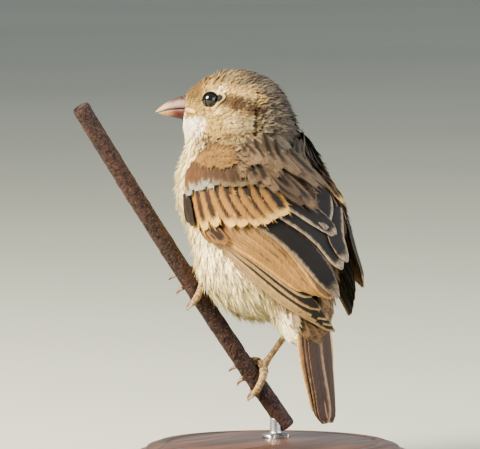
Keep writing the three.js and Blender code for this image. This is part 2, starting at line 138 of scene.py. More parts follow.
def bend(rows: Sequence[Sequence[float]], t: Array) -> Array:
    """Runs smoothly through rows of numbers, as a centripetal Catmull-Rom curve.

    Args:
        rows: The rows to pass through.
        t: Places along the run, from 0 to 1.

    Returns:
        One row of numbers for each place.
    """
    knots = np.array(rows, float)
    last = len(knots) - 1
    at = last * np.clip(np.asarray(t, float), 0, 1)
    i = np.minimum(at.astype(int), last - 1)
    w = (at - i)[..., None]
    ext = np.vstack([2 * knots[0] - knots[1], knots, 2 * knots[-1] - knots[-2]])
    p0, p1, p2, p3 = ext[i], ext[i + 1], ext[i + 2], ext[i + 3]
    pairs = ((p0, p1), (p1, p2), (p2, p3))
    gap = [np.maximum(((b - a) ** 2).sum(-1) ** 0.25, 1e-4)[..., None] for a, b in pairs]
    t1 = ((p1 - p0) / gap[0] - (p2 - p0) / (gap[0] + gap[1]) + (p2 - p1) / gap[1]) * gap[1]
    t2 = ((p2 - p1) / gap[1] - (p3 - p1) / (gap[1] + gap[2]) + (p3 - p2) / gap[2]) * gap[1]
    return p1 + t1 * w + (3 * p2 - 3 * p1 - 2 * t1 - t2) * w**2 + (2 * p1 - 2 * p2 + t1 + t2) * w**3


# ---------------------------------------------------------------- meshes


@dataclass
class MeshParts:
    """A mesh in the making: points, faces of one size, and what each point carries."""

    points: Array
    faces: Array
    uv: Array | None = None
    carries: dict[str, Array] = field(default_factory=dict)


def make_object(name: str, parts: MeshParts, material: bpy.types.Material, slot: str | None = None,
                replaced: Sequence[str] = ()) -> bpy.types.Object:
    """Makes a smooth-shaded object from arrays and, when it has a slot, rides it on the model's one body.

    Args:
        name: The piece's name.
        parts: Its points in millimetres from the trunk's centre, its faces and what its points carry.
        material: Its finish.
        slot: A material slot name, which only marks the piece as part of the model so it rides on the body;
            the name is not recorded. None for what isn't part of the model.
        replaced: The solids that it stands for.

    Returns:
        The new object.
    """
    mesh = bpy.data.meshes.new(name)
    count, size = parts.faces.shape
    mesh.vertices.add(len(parts.points))
    mesh.vertices.foreach_set("co", ((parts.points + TRUNK_CENTRE) * MM).astype(np.float32).ravel())
    mesh.loops.add(count * size)
    mesh.polygons.add(count)
    mesh.polygons.foreach_set("loop_start", np.arange(0, count * size, size, dtype=np.int32))
    mesh.polygons.foreach_set("vertices", parts.faces.astype(np.int32).ravel())
    for key, values in parts.carries.items():
        kind, part = ("FLOAT_COLOR", "color") if values.shape[-1] == 4 else ("FLOAT_VECTOR", "vector")
        layer = mesh.attributes.new(key, kind, "POINT")
        layer.data.foreach_set(part, values.astype(np.float32).ravel())
    if parts.uv is not None:
        layer = mesh.uv_layers.new(name="OFBake")
        layer.data.foreach_set("uv", parts.uv[parts.faces.ravel()].astype(np.float32).ravel())
    mesh.update(calc_edges=True)
    mesh.materials.append(material)
    made = bpy.data.objects.new(name, mesh)
    bpy.context.scene.collection.objects.link(made)
    if slot:
        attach(made, "root")
    if replaced:
        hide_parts(*replaced)
    return made


def grid_faces(rows: int, columns: int, wrap: bool = False) -> Array:
    """Lists the four corners of each cell in a grid of points.

    Args:
        rows: Rows of points.
        columns: Points in each row.
        wrap: Whether each row closes on itself.

    Returns:
        One row of four point numbers for each cell.
    """
    r = np.arange(rows - 1)[:, None]
    c = np.arange(columns if wrap else columns - 1)[None, :]
    nxt = (c + 1) % columns
    corners = [r * columns + c, r * columns + nxt, (r + 1) * columns + nxt, (r + 1) * columns + c]
    return np.stack([np.broadcast_to(k, (rows - 1, c.shape[1])).ravel() for k in corners], -1)


def joined(many: Sequence[MeshParts]) -> MeshParts:
    """Joins meshes that have the same size of face and carry the same things."""
    starts = np.cumsum([0] + [len(m.points) for m in many[:-1]])
    return MeshParts(
        np.vstack([m.points for m in many]),
        np.vstack([m.faces + s for m, s in zip(many, starts)]),
        None if many[0].uv is None else np.vstack([m.uv for m in many]),
        {k: np.vstack([m.carries[k] for m in many]) for k in many[0].carries},
    )


# ---------------------------------------------------------------- the body's form


@dataclass(frozen=True)
class Lobe:
    """One rounded mass of the body, and how softly it flows into the others."""

    centre: Array
    axes: Array
    radii: tuple[float, float, float]
    blend: float


TRUNK_AXES = np.array([AXIS, DORSAL, LEFT])
HEAD_AXES = np.array([HEAD_FORWARD, UP, HEAD_LEFT])


def thigh_lobe(hip: Array, cuff: Array, fat: float) -> Lobe:
    """Makes an egg-shaped thigh between the hip and its cuff of feathers."""
    along = unit(cuff - hip)
    side = unit(np.cross(along, LEFT + 0.01 * AXIS))
    return Lobe((hip + cuff) / 2, np.array([along, side, np.cross(along, side)]),
                (float(np.linalg.norm(cuff - hip)) / 2 + 0.5, fat, fat), 3.0)


@dataclass(frozen=True)
class Leg:
    """Where one leg stands on the perch, and the ends of its thigh, from the trunk's centre."""

    name: str
    side: int
    at: float
    turn: float
    ankle: Array
    hip: Array
    cuff: Array
    fat: float


PERCH_FOOT_RIGHT = place(8.3, -8, -54.2)
PERCH_FOOT_LEFT = place(18.1, 9, -25.3)
FEET_APART = float(np.linalg.norm(PERCH_FOOT_LEFT - PERCH_FOOT_RIGHT))
LEGS = (
    Leg("left", 1, FEET_APART + 3.6, 0.35, place(-1, 11, -12), place(3, 9.5, -10), place(14.5, 12.5, -19.5),
        4.2),
    Leg("right", -1, 0.4, 0.3, place(-7.8, -11.4, -35), place(-3.5, -9.5, -22), place(-7, -11, -32.5), 3.9),
)


class BodyForm:
    """The outline of the plumage as one smooth form, measured by its distance from a point."""

    def __init__(self) -> None:
        """Lays out the lobes, from the trunk to the face."""
        t, h = TRUNK_AXES, HEAD_AXES
        self.lobes = [
            Lobe(in_trunk(0, -0.3), t, (33, 22.8, 21.8), 6),
            Lobe(in_trunk(12, -4.2, 0.4), t, (19, 20.2, 21), 6),
            Lobe(in_trunk(-12, -9.5), t, (21, 17, 22), 6), Lobe(in_trunk(-30, 4), t, (15, 8.5, 9.5), 7),
            Lobe(in_trunk(-36, -2), t, (11, 6, 6.5), 6), Lobe(place(4.2, 1.2, 24), t, (18, 20, 16), 6),
            Lobe(in_head(-3.5, 0, 0.2), h, (14.5, 10.4, 11.4), 5),
            Lobe(in_head(-8, 0, -5), h, (13, 12, 12.4), 5),
            Lobe(in_head(3.2, 0, -7.2), h, (10.6, 8.4, 9.8), 5),
            Lobe(in_head(8.5, 0, -2), h, (5.8, 5.6, 5.6), 4),
        ] + [thigh_lobe(leg.hip, leg.cuff, leg.fat) for leg in LEGS]

    def distance(self, p: Array) -> Array:
        """Measures how far points stand outside the form.

        Args:
            p: Points in rows.

        Returns:
            The distances, below zero inside.
        """
        whole = None
        for lobe in self.lobes:
            q = (p - lobe.centre) @ lobe.axes.T
            r = np.array(lobe.radii)
            k0 = np.linalg.norm(q / r, axis=-1)
            k1 = np.maximum(np.linalg.norm(q / r**2, axis=-1), 1e-6)
            d = k0 * (k0 - 1) / k1
            if whole is None:
                whole = d
                continue
            share = np.maximum(lobe.blend - np.abs(whole - d), 0) / lobe.blend
            whole = np.minimum(whole, d) - share**2 * lobe.blend / 4
        return whole

    def normal(self, p: Array) -> Array:
        """Gives the outward direction of the form at points."""
        step = 0.4
        corners = np.array([[1, -1, -1], [-1, -1, 1], [-1, 1, -1], [1, 1, 1]], float)
        return unit(sum(self.distance(p + step * c)[..., None] * c for c in corners))

    def settle(self, p: Array, rounds: int = 2) -> tuple[Array, Array]:
        """Moves points on to the form.

        Args:
            p: Points near the form.
            rounds: How many times they are corrected.

        Returns:
            The settled points and the form's outward directions there.
        """
        for _ in range(rounds):
            n = self.normal(p)
            p = p - n * self.distance(p)[..., None]
        return p, n


FORM = BodyForm()


def head_parts(p: Array) -> tuple[Array, Array, Array]:
    """Splits points into their parts forward, left and up from the head's centre."""
    q = p - HEAD_CENTRE
    return q @ HEAD_FORWARD, q @ HEAD_LEFT, q @ UP


def trunk_parts(p: Array) -> tuple[Array, Array, Array]:
    """Splits points into their place along the trunk, their turn from the back in degrees, and their side."""
    turn = np.degrees(np.arctan2(np.abs(p @ LEFT), p @ DORSAL))
    return p @ AXIS, turn, p @ LEFT


BILL_DROP = math.radians(5)
BILL_TIPWARD = HEAD_FORWARD * math.cos(BILL_DROP) - UP * math.sin(BILL_DROP)
BILL_OVER = UP * math.cos(BILL_DROP) + HEAD_FORWARD * math.sin(BILL_DROP)
BILL_ROOT = in_head(11.2, 0, -2.7)


def coat_depth(p: Array) -> Array:
    """Gives how deep the coat is at points: thin at the bill and round the eyes, deep on the trunk."""
    away = np.linalg.norm(p - BILL_ROOT, axis=-1)
    return mix(0.5, 3.3, smooth(away, 3, 48))


def off_eye(f: Array, u: Array) -> Array:
    """Gives how far side-view places stand from the eye, counted shorter towards its rear corner."""
    back = f - EYE_AT[0]
    return np.hypot(np.where(back < 0, back * 0.72, back), u - EYE_AT[2])


class Unwrap:
    """The skin's own shape unrolled: a turn round a spine from belly to crown, capped at each end."""

    LOW_CAP, HIGH_CAP = 0.32, 0.76

    def __init__(self) -> None:
        """Sets the spine from low in the trunk to the middle of the head."""
        self.low, self.high = in_trunk(-12, -3), in_head(-1, 0, -2)
        self.spine = unit(self.high - self.low)
        self.ahead = unit(np.cross(LEFT, self.spine)) * -1
        self.side = np.cross(self.spine, self.ahead)

    def cast(self, turn: Array, rise: Array, depth: float) -> Array:
        """Finds the skin from its unrolled places.

        Args:
            turn: The share of a whole turn round the spine.
            rise: The share of the way from the lower pole to the upper one.
            depth: The share of the coat's depth to go inside the form's outline.

        Returns:
            The points on the skin.
        """
        low = np.clip(rise / self.LOW_CAP, 0, 1)
        high = np.clip((rise - self.HIGH_CAP) / (1 - self.HIGH_CAP), 0, 1)
        middle = np.clip((rise - self.LOW_CAP) / (self.HIGH_CAP - self.LOW_CAP), 0, 1)
        origin = self.low + (self.high - self.low) * middle[..., None]
        tilt = (low - 1 + high) * math.pi / 2
        angle = turn * math.tau
        flat = self.ahead * np.cos(angle)[..., None] + self.side * np.sin(angle)[..., None]
        ray = flat * np.cos(tilt)[..., None] + self.spine * np.sin(tilt)[..., None]
        near, far = np.full(rise.shape, 2.0), np.full(rise.shape, 60.0)
        for _ in range(18):
            half = (near + far) / 2
            p = origin + ray * half[..., None]
            outside = FORM.distance(p) + depth * coat_depth(p) > 0
            far = np.where(outside, half, far)
            near = np.where(outside, near, half)
        return origin + ray * far[..., None]


# ---------------------------------------------------------------- markings


@dataclass(frozen=True)
class Streak:
    """The dark mark down the middle of the feathers of a region."""

    colour: str
    amount: float
    start: float
    share: float


class Markings:
    """The colours of skin and coat by place on the body, for both sides alike."""

    def __init__(self) -> None:
        """Lists the head's bands and spots in its side view: forward and up from its centre."""
        self.bands = [
            (((5.5, 4.6), (3.5, 5.0), (0, 4.5), (-6, 3.8), (-12.5, 2.2)), 1.9, "#a88951", 0.6),
            (((-0.4, 0.7), (-6.5, -0.4), (-12.0, -3.2)), 1.9, "#2c1909", 0.9),
            (((11.4, 0.6), (7.0, 0.9)), 1.0, "#7d5f33", 0.55),
            (((-11.0, -2.5), (-12.6, -5.2), (-11.4, -8.4)), 1.5, "#392817", 0.6),
            (((8.2, -6.6), (7.0, -8.8), (5.2, -11.2)), 0.9, "#dca84c", 0.35),
            (((9.4, -12.7), (2.4, -12.1), (-6, -10.1), (-11, -9.4)), 0.8, "#3f2c16", 0.85),
        ]
        self.spots = [
            ((0.6, 3.0), 1.5, "#e3d0a2", 0.9), ((1.6, -2.6), 1.2, "#d9c494", 0.6),
            ((5.6, -4.6), 2.2, "#a3844d", 0.6), ((-3.0, -6.0), 2.6, "#ac996e", 0.5),
            ((-7.0, -3.0), 1.8, "#7d6038", 0.4), ((-5.0, -8.5), 1.6, "#806640", 0.35),
        ]

    @staticmethod
    def _near_line(f: Array, u: Array, line: Sequence[tuple[float, float]], half: float) -> Array:
        """Tells how far points are within a soft band round a line.

        Args:
            f: Places forward in the head.
            u: Places up in the head.
            line: The corners of the line.
            half: Half of the band's width.

        Returns:
            Shares from 0 outside to 1 inside.
        """
        at = np.stack([f, u], -1)
        best = np.full(f.shape, 1e9)
        for a, b in zip(line[:-1], line[1:]):
            a, b = np.array(a), np.array(b)
            t = np.clip(((at - a) @ (b - a)) / ((b - a) @ (b - a)), 0, 1)
            best = np.minimum(best, np.linalg.norm(at - a - t[..., None] * (b - a), axis=-1))
        return 1 - smooth(best, half * 0.55, half * 1.35)

    def _head(self, p: Array) -> Array:
        """Gives the head's colours at points."""
        f, l, u = head_parts(p)
        crown = mix(linear("#7c6034"), linear("#726146"), 1 - smooth(f, -2, 8))
        crown = mix(crown, linear("#302e29"), 1 - smooth(f, -12, -2))
        cheek = mix(linear("#907741"), linear("#716348"), 1 - smooth(f, -9, 2))
        tint = mix(cheek, crown, smooth(u - 0.12 * np.abs(l), 3.2, 6.2))
        tint = mix(tint, linear("#59401f"), 0.8 * smooth(f, 6.0, 9.0) * smooth(u, 0.5, 3.0))
        throat = smooth(f + 0.25 * u, 3.6, 6.2) * (1 - smooth(u, -6.5, -4.2))
        tint = mix(tint, linear("#fff6e2"), throat)
        tint = mix(tint, linear("#4e463c"), 1 - smooth(f - 0.15 * u, -16.0, -9.5))
        side = smooth(np.abs(l), 2.5, 6.0)
        for line, half, colour, amount in self.bands:
            tint = mix(tint, linear(colour), amount * side * self._near_line(f, u, line, half))
        for (sf, su), radius, colour, amount in self.spots:
            near = 1 - smooth(np.hypot(f - sf, u - su), radius * 0.5, radius * 1.3)
            tint = mix(tint, linear(colour), amount * side * near)
        return tint

    def _body(self, p: Array) -> Array:
        """Gives the trunk's and neck's colours at points."""
        s, turn, _ = trunk_parts(p)
        back = mix(linear("#574434"), linear("#493b2e"), smooth(s, 6, 22))
        rump = mix(back, linear("#6d5439"), 1 - smooth(s, -30, -18))
        flank = mix(linear("#bfa779"), linear("#ad9466"), 1 - smooth(s, -25, -5))
        tint = mix(rump, flank, smooth(turn, 72, 96))
        breast = mix(linear("#f6e5b9"), linear("#fff0c6"), smooth(s, 0, 25))
        breast = mix(breast, linear("#cdbd8a"), 1 - smooth(s, -26, -4))
        tint = mix(tint, breast, smooth(turn, 86, 108))
        # Painted shadow: a near-black arc over the shoulder, where the gap between the neck feathers and the
        # top of the wing falls in shade.
        arch = self._near_line(s, 0.4 * turn, ((14.5, 30.8), (16.8, 24.0), (17.0, 19.5), (13.5, 16.0)), 0.85)
        tint = mix(tint, linear("#1c1008"), arch)
        under = (1 - smooth(s, -40, -31)) * smooth(turn, 60, 95)
        return mix(tint, linear("#fbedc6"), under)

    def tint(self, p: Array) -> Array:
        """Gives the colour of the coat.

        Args:
            p: Points in rows.

        Returns:
            Linear red, green and blue in rows.
        """
        drift = np.stack([lumps(p, 2.6, k) for k in (1, 2, 3)], -1) - 0.5
        p = p + 2.6 * drift
        high = p @ UP
        f, _, _ = head_parts(p)
        return mix(self._body(p), self._head(p), smooth(high - 0.25 * f, 21, 29))


MARKINGS = Markings()


# ---------------------------------------------------------------- finishes


def add_node(tree: bpy.types.NodeTree, kind: str, settings: dict | None = None, links: dict | None = None,
             **values: object) -> bpy.types.Node:
    """Adds a node with its settings, its socket values and its links.

    Args:
        tree: The node tree to add to.
        kind: The node's type.
        settings: The node's own settings.
        links: The sockets that feed each input, by the input's name or number.
        **values: Input values by name, with spaces written as underscores.

    Returns:
        The new node.
    """
    node = tree.nodes.new(kind)
    for key, value in (settings or {}).items():
        setattr(node, key, value)
    for key, value in values.items():
        node.inputs[key.replace("_", " ")].default_value = value
    for key, source in (links or {}).items():
        if isinstance(source, (int, float, tuple)):
            node.inputs[key].default_value = source
        else:
            tree.links.new(source, node.inputs[key])
    return node


class Tree:
    """A material's nodes in the making, ending in one principled shader."""

    def __init__(self, name: str, **shader: object) -> None:
        """Starts a material and sets the constants of its shader."""
        self.material = bpy.data.materials.new(name)
        self.material.use_nodes = True
        self.nodes = self.material.node_tree
        self.nodes.nodes.clear()
        self.shader = add_node(self.nodes, "ShaderNodeBsdfPrincipled", **shader)
        add_node(self.nodes, "ShaderNodeOutputMaterial", links={"Surface": self.shader.outputs[0]})

    def add(self, kind: str, settings: dict | None = None, links: dict | None = None,
            **values: object) -> bpy.types.Node:
        """Adds one node to the material."""
        return add_node(self.nodes, kind, settings, links, **values)

    def feed(self, **sockets: bpy.types.NodeSocket) -> bpy.types.Material:
        """Links sockets into the shader's inputs and gives the finished material."""
        for key, source in sockets.items():
            self.nodes.links.new(source, self.shader.inputs[key.replace("_", " ")])
        return self.material

    def attribute(self, name: str, output: int = 0) -> bpy.types.NodeSocket:
        """Reads what the mesh carries under a name."""
        return self.add("ShaderNodeAttribute", {"attribute_name": name}).outputs[output]

    def blend(self, share: object, a: object, b: object, how: str = "MIX") -> bpy.types.NodeSocket:
        """Mixes two colours by a share."""
        node = self.nodes.nodes.new("ShaderNodeMix")
        node.data_type, node.blend_type = "RGBA", how
        for socket, source in ((node.inputs[0], share), (node.inputs[6], a), (node.inputs[7], b)):
            if isinstance(source, bpy.types.NodeSocket):
                self.nodes.links.new(source, socket)
            else:
                socket.default_value = source if isinstance(source, float) else (*source, 1.0)
        return node.outputs[2]

    def ramp(self, source: bpy.types.NodeSocket, low: float, high: float, to_low: float = 0.0,
             to_high: float = 1.0) -> bpy.types.NodeSocket:
        """Eases a value from one range to another."""
        node = self.add("ShaderNodeMapRange", {"interpolation_type": "SMOOTHSTEP"}, {"Value": source},
                        From_Min=low, From_Max=high, To_Min=to_low, To_Max=to_high)
        return node.outputs[0]

    def sums(self, how: str, a: object, b: object = 0.5) -> bpy.types.NodeSocket:
        """Does one sum on two values."""
        return self.add("ShaderNodeMath", {"operation": how}, {0: a, 1: b}).outputs[0]

    def place_mm(self) -> bpy.types.NodeSocket:
        """Gives the place on the object in millimetres."""
        spot = self.add("ShaderNodeTexCoord").outputs["Object"]
        return self.add("ShaderNodeVectorMath", {"operation": "SCALE"}, {0: spot, "Scale": 1000.0}).outputs[0]

    def noise(self, at: bpy.types.NodeSocket, size: float, detail: float = 3.0,
              rough: float = 0.55) -> bpy.types.NodeSocket:
        """Gives noise whose grains are about a size across, in the units of its place."""
        return self.add("ShaderNodeTexNoise", {"noise_dimensions": "3D"}, {"Vector": at},
                        Scale=0.5 / size, Detail=detail, Roughness=rough).outputs[0]

    def bump(self, height: bpy.types.NodeSocket, depth: float) -> bpy.types.NodeSocket:
        """Turns a height from 0 to 1 into a bumped normal of a depth in millimetres."""
        return self.add("ShaderNodeBump", None, {"Height": height}, Strength=1.0,
                        Distance=depth * MM).outputs[0]


@dataclass(frozen=True)
class Plumage:
    """Keratin feathers, grown: matt barbs side by side that catch light softly, with a darker shaft."""

    name: str
    barb_spacing: float
    barb_contrast: float
    shaft: float
    roughness: float
    relief: float
    soft: float
    ragged: float

    def make(self) -> bpy.types.Material:
        """Builds the material, which reads each feather's colours and its own measure along the barbs."""
        m = Tree(self.name, Roughness=self.roughness, IOR=1.54, Sheen_Weight=0.04, Sheen_Roughness=0.5,
                 Specular_IOR_Level=0.14)
        vane = m.add("ShaderNodeSeparateXYZ", None, {0: m.attribute("vane", 1)})
        pattern = m.add("ShaderNodeSeparateXYZ", None, {0: m.attribute("pattern", 1)})
        across, barb, edge = vane.outputs[0], vane.outputs[1], vane.outputs[2]
        start, amount, own = pattern.outputs[0], pattern.outputs[1], pattern.outputs[2]
        fine = m.add("ShaderNodeCombineXYZ", None, {0: barb, 1: m.sums("MULTIPLY", own, 37.0),
                                                    2: m.sums("MULTIPLY", across, 0.12)}).outputs[0]
        lines = m.noise(fine, self.barb_spacing, 2.0, 0.6)
        cloud = m.noise(m.place_mm(), 0.8, 2.0)
        ragged = m.sums("ADD", edge, m.sums("MULTIPLY", m.sums("SUBTRACT", lines, 0.5), self.ragged))
        ragged = m.sums("ADD", ragged, m.sums("MULTIPLY", m.sums("SUBTRACT", cloud, 0.5), 0.25))
        inside = m.ramp(m.sums("SUBTRACT", ragged, start), -self.soft, self.soft, 1.0, 0.0)
        colour = m.blend(m.sums("MULTIPLY", inside, amount), m.attribute("tint"), m.attribute("mark"))
        low, high = 1 - self.barb_contrast, 1 + self.barb_contrast
        shade = m.ramp(lines, 0.3, 0.7, low, high)
        shade = m.sums("MULTIPLY", shade, m.ramp(cloud, 0.3, 0.7, 0.93, 1.07))
        if self.shaft:
            rib = m.ramp(m.sums("ABSOLUTE", across), 0.03, 0.09, 1 - self.shaft, 1.0)
            shade = m.sums("MULTIPLY", shade, rib)
        grey = m.add("ShaderNodeCombineXYZ", None, {0: shade, 1: shade, 2: shade}).outputs[0]
        colour = m.blend(1.0, colour, grey, "MULTIPLY")
        return m.feed(Base_Color=colour, Normal=m.bump(lines, self.relief))


@dataclass(frozen=True)
class BareSkin:
    """The bird's skin under the coat: dry and fine-grained, stained with its feathers' colours."""

    name: str = "skin_under_feathers"

    def make(self) -> bpy.types.Material:
        """Builds the material from the carried markings with the rows of quill bumps, about 1.5 mm apart."""
        m = Tree(self.name, Roughness=0.8, IOR=1.45, Specular_IOR_Level=0.25)
        at = m.place_mm()
        quills = m.add("ShaderNodeTexVoronoi", {"feature": "F1"}, {"Vector": at}, Scale=0.67).outputs[0]
        grain = m.noise(at, 0.3)
        colour = m.blend(m.ramp(quills, 0.0, 0.6, 0.35, 0.1), m.attribute("tint"), linear("#6d5340"))
        colour = m.blend(m.ramp(grain, 0.3, 0.7, 0.0, 0.3), colour, linear("#3c2e22"))
        return m.feed(Base_Color=colour, Normal=m.bump(m.sums("SUBTRACT", grain, quills), 0.12))


# ---------------------------------------------------------------- feathers


@dataclass(frozen=True)
class Vane:
    """The shape that the feathers of one kind share.

    The outline rises to full width by rise and rounds off from taper to the tip. Loose barbs stand out
    from the rim by fray, a share of the feather's length.
    """

    rows: int = 5
    columns: int = 2
    barbs: int = 12
    fray: float = 0.16
    barb: float = 0.12
    rise: float = 0.4
    taper: float = 0.5
    tip: float = 0.14
    slab: float = 0.0

    def width(self, a: Array) -> Array:
        """Gives the outline's half width, as a share of the widest, at shares of the length."""
        a = np.asarray(a, float)
        root = 0.25 + 0.75 * smooth(a, 0, self.rise)
        end = np.clip((a - self.taper) / (1 - self.taper), 0, 1)
        return np.maximum(root * np.sqrt(np.maximum(1 - end**2.4, 0)), self.tip)

    def template(self) -> tuple[Array, Array, Array]:
        """Lays out one feather.

        Returns:
            The points as rows of share across, share along and closeness to the rim; whether each point is
            the tip of a loose barb; and the faces as rows of three point numbers.
        """
        a = np.linspace(0, 1, self.rows + 1) ** 0.85
        x = np.linspace(-1, 1, self.columns + 1)
        aa, xx = np.meshgrid(a, x, indexing="ij")
        rim = np.maximum(np.abs(xx), smooth(aa, self.taper + 0.1, 1.0))
        points = np.stack([xx * self.width(aa), aa, rim], -1).reshape(-1, 3)
        quads = grid_faces(self.rows + 1, self.columns + 1)
        faces = np.vstack([quads[:, [0, 1, 2]], quads[:, [0, 2, 3]]])
        loose = np.zeros(len(points), bool)
        if self.barbs:
            k = np.arange(self.barbs)
            side = np.where(k % 2, 1.0, -1.0)
            foot = 0.3 + 0.66 * (k + 0.5) / self.barbs
            near, far = foot - 0.4 * self.barb, np.minimum(foot + 0.6 * self.barb, 1.0)
            slant = 1.0 + 0.25 * (1 - foot)
            end = foot + self.fray * (0.8 + 0.5 * ((k * 7) % 5) / 4) + 0.05
            shape = [(side * self.width(near) * 0.97, near), (side * self.width(far) * 0.97, far),
                     (side * (self.width(foot) * slant * 0.98), end)]
            spikes = [np.stack([sx, sa, np.ones_like(sx)], -1) for sx, sa in shape]
            spikes = np.stack(spikes, 1).reshape(-1, 3)
            new = len(points) + np.arange(self.barbs * 3).reshape(-1, 3)
            faces = np.vstack([faces, np.where((side > 0)[:, None], new, new[:, ::-1])])
            points = np.vstack([points, spikes])
            loose = np.concatenate([loose, np.tile([False, False, True], self.barbs)])
        return points, loose, faces


@dataclass
class Feathers:
    """Many feathers of one kind: their middle lines, sizes and colours, ready to be made into one mesh."""

    line: Array
    out: Array
    length: Array
    half: Array
    lift: Array
    depth: Array
    tint: Array
    mark: Array
    start: Array
    amount: Array
    uv: Array
    patch: float = 0.003
    round_by: float = 22.0
    tip_rise: Array | float = 0.0
    tint_at: Callable[[Array], Array] | None = None
    tip_tint: Array | None = None
    outer: Array | float = 1.0
    shift: float = 0.0
    widen: float = 0.0
    # How far each feather darkens towards its root: partly the grey down of its base, partly painted shade
    # where the feathers above overlap it.
    root_down_and_painted_shade: float = 0.5

    def mesh(self, vane: Vane, rng: np.random.Generator) -> MeshParts:
        """Shapes the feathers over their middle lines.

        Args:
            vane: The shape they share.
            rng: The source of each feather's own small differences.

        Returns:
            The joined mesh with what the plumage finish reads.
        """
        shape, loose, faces = vane.template()
        count, steps = self.line.shape[:2]
        across, along, rim = shape[:, 0], shape[:, 1], shape[:, 2]
        at = np.clip(along, 0, 0.9999) * (steps - 1)
        i = at.astype(int)
        w = (along * (steps - 1) - i)[None, :, None]
        middle = self.line[:, i] * (1 - w) + self.line[:, i + 1] * w
        out = unit(self.out[:, i] * (1 - w) + self.out[:, i + 1] * w)
        ahead = unit(self.line[:, i + 1] - self.line[:, i])
        side = unit(np.cross(out, ahead))
        wide = across[None, :] * self.half[:, None]
        wide = wide * (1 + 0.12 * rng.standard_normal((count, len(shape))) * loose[None, :])
        sink = self.depth[:, None] * np.clip(1 - along[None, :], 0, 1) ** 1.8
        rise = self.lift[:, None] + np.reshape(self.tip_rise, (-1, 1)) * along[None, :] ** 3
        phase = 6 * rng.random((count, 1))
        wave = 0.05 * self.half[:, None] * np.sin(9 * along[None, :] + phase) * np.abs(across)
        height = rise - sink - wide**2 / (2 * self.round_by) + wave
        stray = loose[None, :] * rng.standard_normal((count, len(shape)))
        points = middle + side * wide[..., None] + out * height[..., None]
        points = points + ahead * (0.05 * stray * self.length[:, None])[..., None]
        own = rng.random(count)
        barb = along[None, :] * self.length[:, None] - np.abs(wide) * 0.9
        if self.shift:
            web = (across / np.maximum(vane.width(along), 0.2))[None, :] * np.reshape(self.outer, (-1, 1))
            tip = smooth(along, vane.taper + 0.1, 1.0)[None, :] * 1.02
            rim = np.maximum(tip, np.abs(web + self.shift) * (1 + self.widen * (1 - along[None, :])))
        rim = np.broadcast_to(rim, (count, len(shape)))
        if self.tint_at is not None:
            heart = self.line[:, [-2]] + 0.8 * rng.standard_normal((count, 1, 3))
            tint = self.tint_at((0.4 * points + 0.6 * heart).reshape(-1, 3)).reshape(count, -1, 3)
            tint = tint * self.tint[:, None, :]
        else:
            tint = np.broadcast_to(self.tint[:, None, :], (count, len(shape), 3))
        if self.tip_tint is not None:
            share = smooth(along, 0.74, 0.9)[None, :, None]
            tint = tint * (1 - share) + self.tip_tint[:, None, :] * share
        # Painted shade with some real colour: the root end darkens, for the grey down of the base and for the
        # shade where overlapping feathers cover it.
        tint = tint * (1 - self.root_down_and_painted_shade * (1 - smooth(along, 0.0, 0.75)))[None, :, None]
        ones = np.ones((count, len(shape), 1))
        carries = {
            "tint": np.concatenate([np.clip(tint, 0, 1), ones], -1),
            "mark": np.concatenate([np.broadcast_to(self.mark[:, None, :], tint.shape), ones], -1),
            "vane": np.stack([np.broadcast_to(across, barb.shape), barb, rim], -1),
            "pattern": np.stack([np.broadcast_to(v[:, None], barb.shape)
                                 for v in (self.start, self.amount, own)], -1),
        }
        local = np.stack([across * 0.5, along - 0.5], -1)[None] * self.patch
        uv = self.uv[:, None, :] + local
        many = faces[None] + (np.arange(count) * len(shape))[:, None, None]
        flat = {k: v.reshape(-1, v.shape[-1]) for k, v in carries.items()}
        made = MeshParts(points.reshape(-1, 3), many.reshape(-1, 3), uv.reshape(-1, 2), flat)
        return self._slabbed(made, vane, out.reshape(-1, 3)) if vane.slab else made

    @staticmethod
    def _slabbed(made: MeshParts, vane: Vane, out: Array) -> MeshParts:
        """Gives sheet feathers a thickness with an under face and a rim.

        Args:
            made: The sheets.
            vane: Their shape.
            out: The outward direction at each point.

        Returns:
            Closed feathers.
        """
        below = made.points - out * vane.slab
        count = len(made.points)
        cells, size = vane.rows + 1, vane.columns + 1
        ring = [r * size for r in range(cells)] + [(cells - 1) * size + c for c in range(1, size)]
        ring += [r * size + size - 1 for r in range(cells - 2, -1, -1)] + list(range(size - 2, 0, -1))
        edge = np.array([ring, ring[1:] + ring[:1]]).T
        starts = np.arange(0, count, cells * size)[:, None, None]
        edge = (edge[None] + starts).reshape(-1, 2)
        walls = np.vstack([np.stack([edge[:, 0], edge[:, 1], edge[:, 1] + count], -1),
                           np.stack([edge[:, 0], edge[:, 1] + count, edge[:, 0] + count], -1)])
        return MeshParts(np.vstack([made.points, below]),
                         np.vstack([made.faces, made.faces[:, ::-1] + count, walls]),
                         np.vstack([made.uv, made.uv]),
                         {k: np.vstack([v, v]) for k, v in made.carries.items()})


def lie(p: Array) -> Array:
    """Gives the lie of the coat: back from the bill over the head, then down the trunk towards the tail.

    Args:
        p: Points near the body.

    Returns:
        Directions that need not yet be level with the skin.
    """
    flow = mix(np.broadcast_to(-AXIS, p.shape), unit(p - BILL_ROOT), smooth(p @ UP, 16, 34))
    for leg in LEGS:
        lobe = thigh_lobe(leg.hip, leg.cuff, leg.fat)
        q = (p - lobe.centre) @ lobe.axes.T / np.array(lobe.radii)
        flow = mix(flow, unit(leg.cuff - leg.hip), 0.9 * (1 - smooth(np.linalg.norm(q, axis=-1), 1.0, 1.35)))
    for side in (1, -1):
        off = p - in_head(EYE_AT[0], side * EYE_AT[1], EYE_AT[2])
        far = np.linalg.norm(off, axis=-1)
        toward = np.minimum(dot(flow, off / far[:, None]), 0) * (1 - smooth(far, 3.0, 7.0))
        flow = flow - off / far[:, None] * toward[:, None] * 1.3
    return flow


def level(flow: Array, n: Array) -> Array:
    """Turns directions level with the surface."""
    return unit(flow - n * dot(flow, n)[..., None])


# ---------------------------------------------------------------- wings


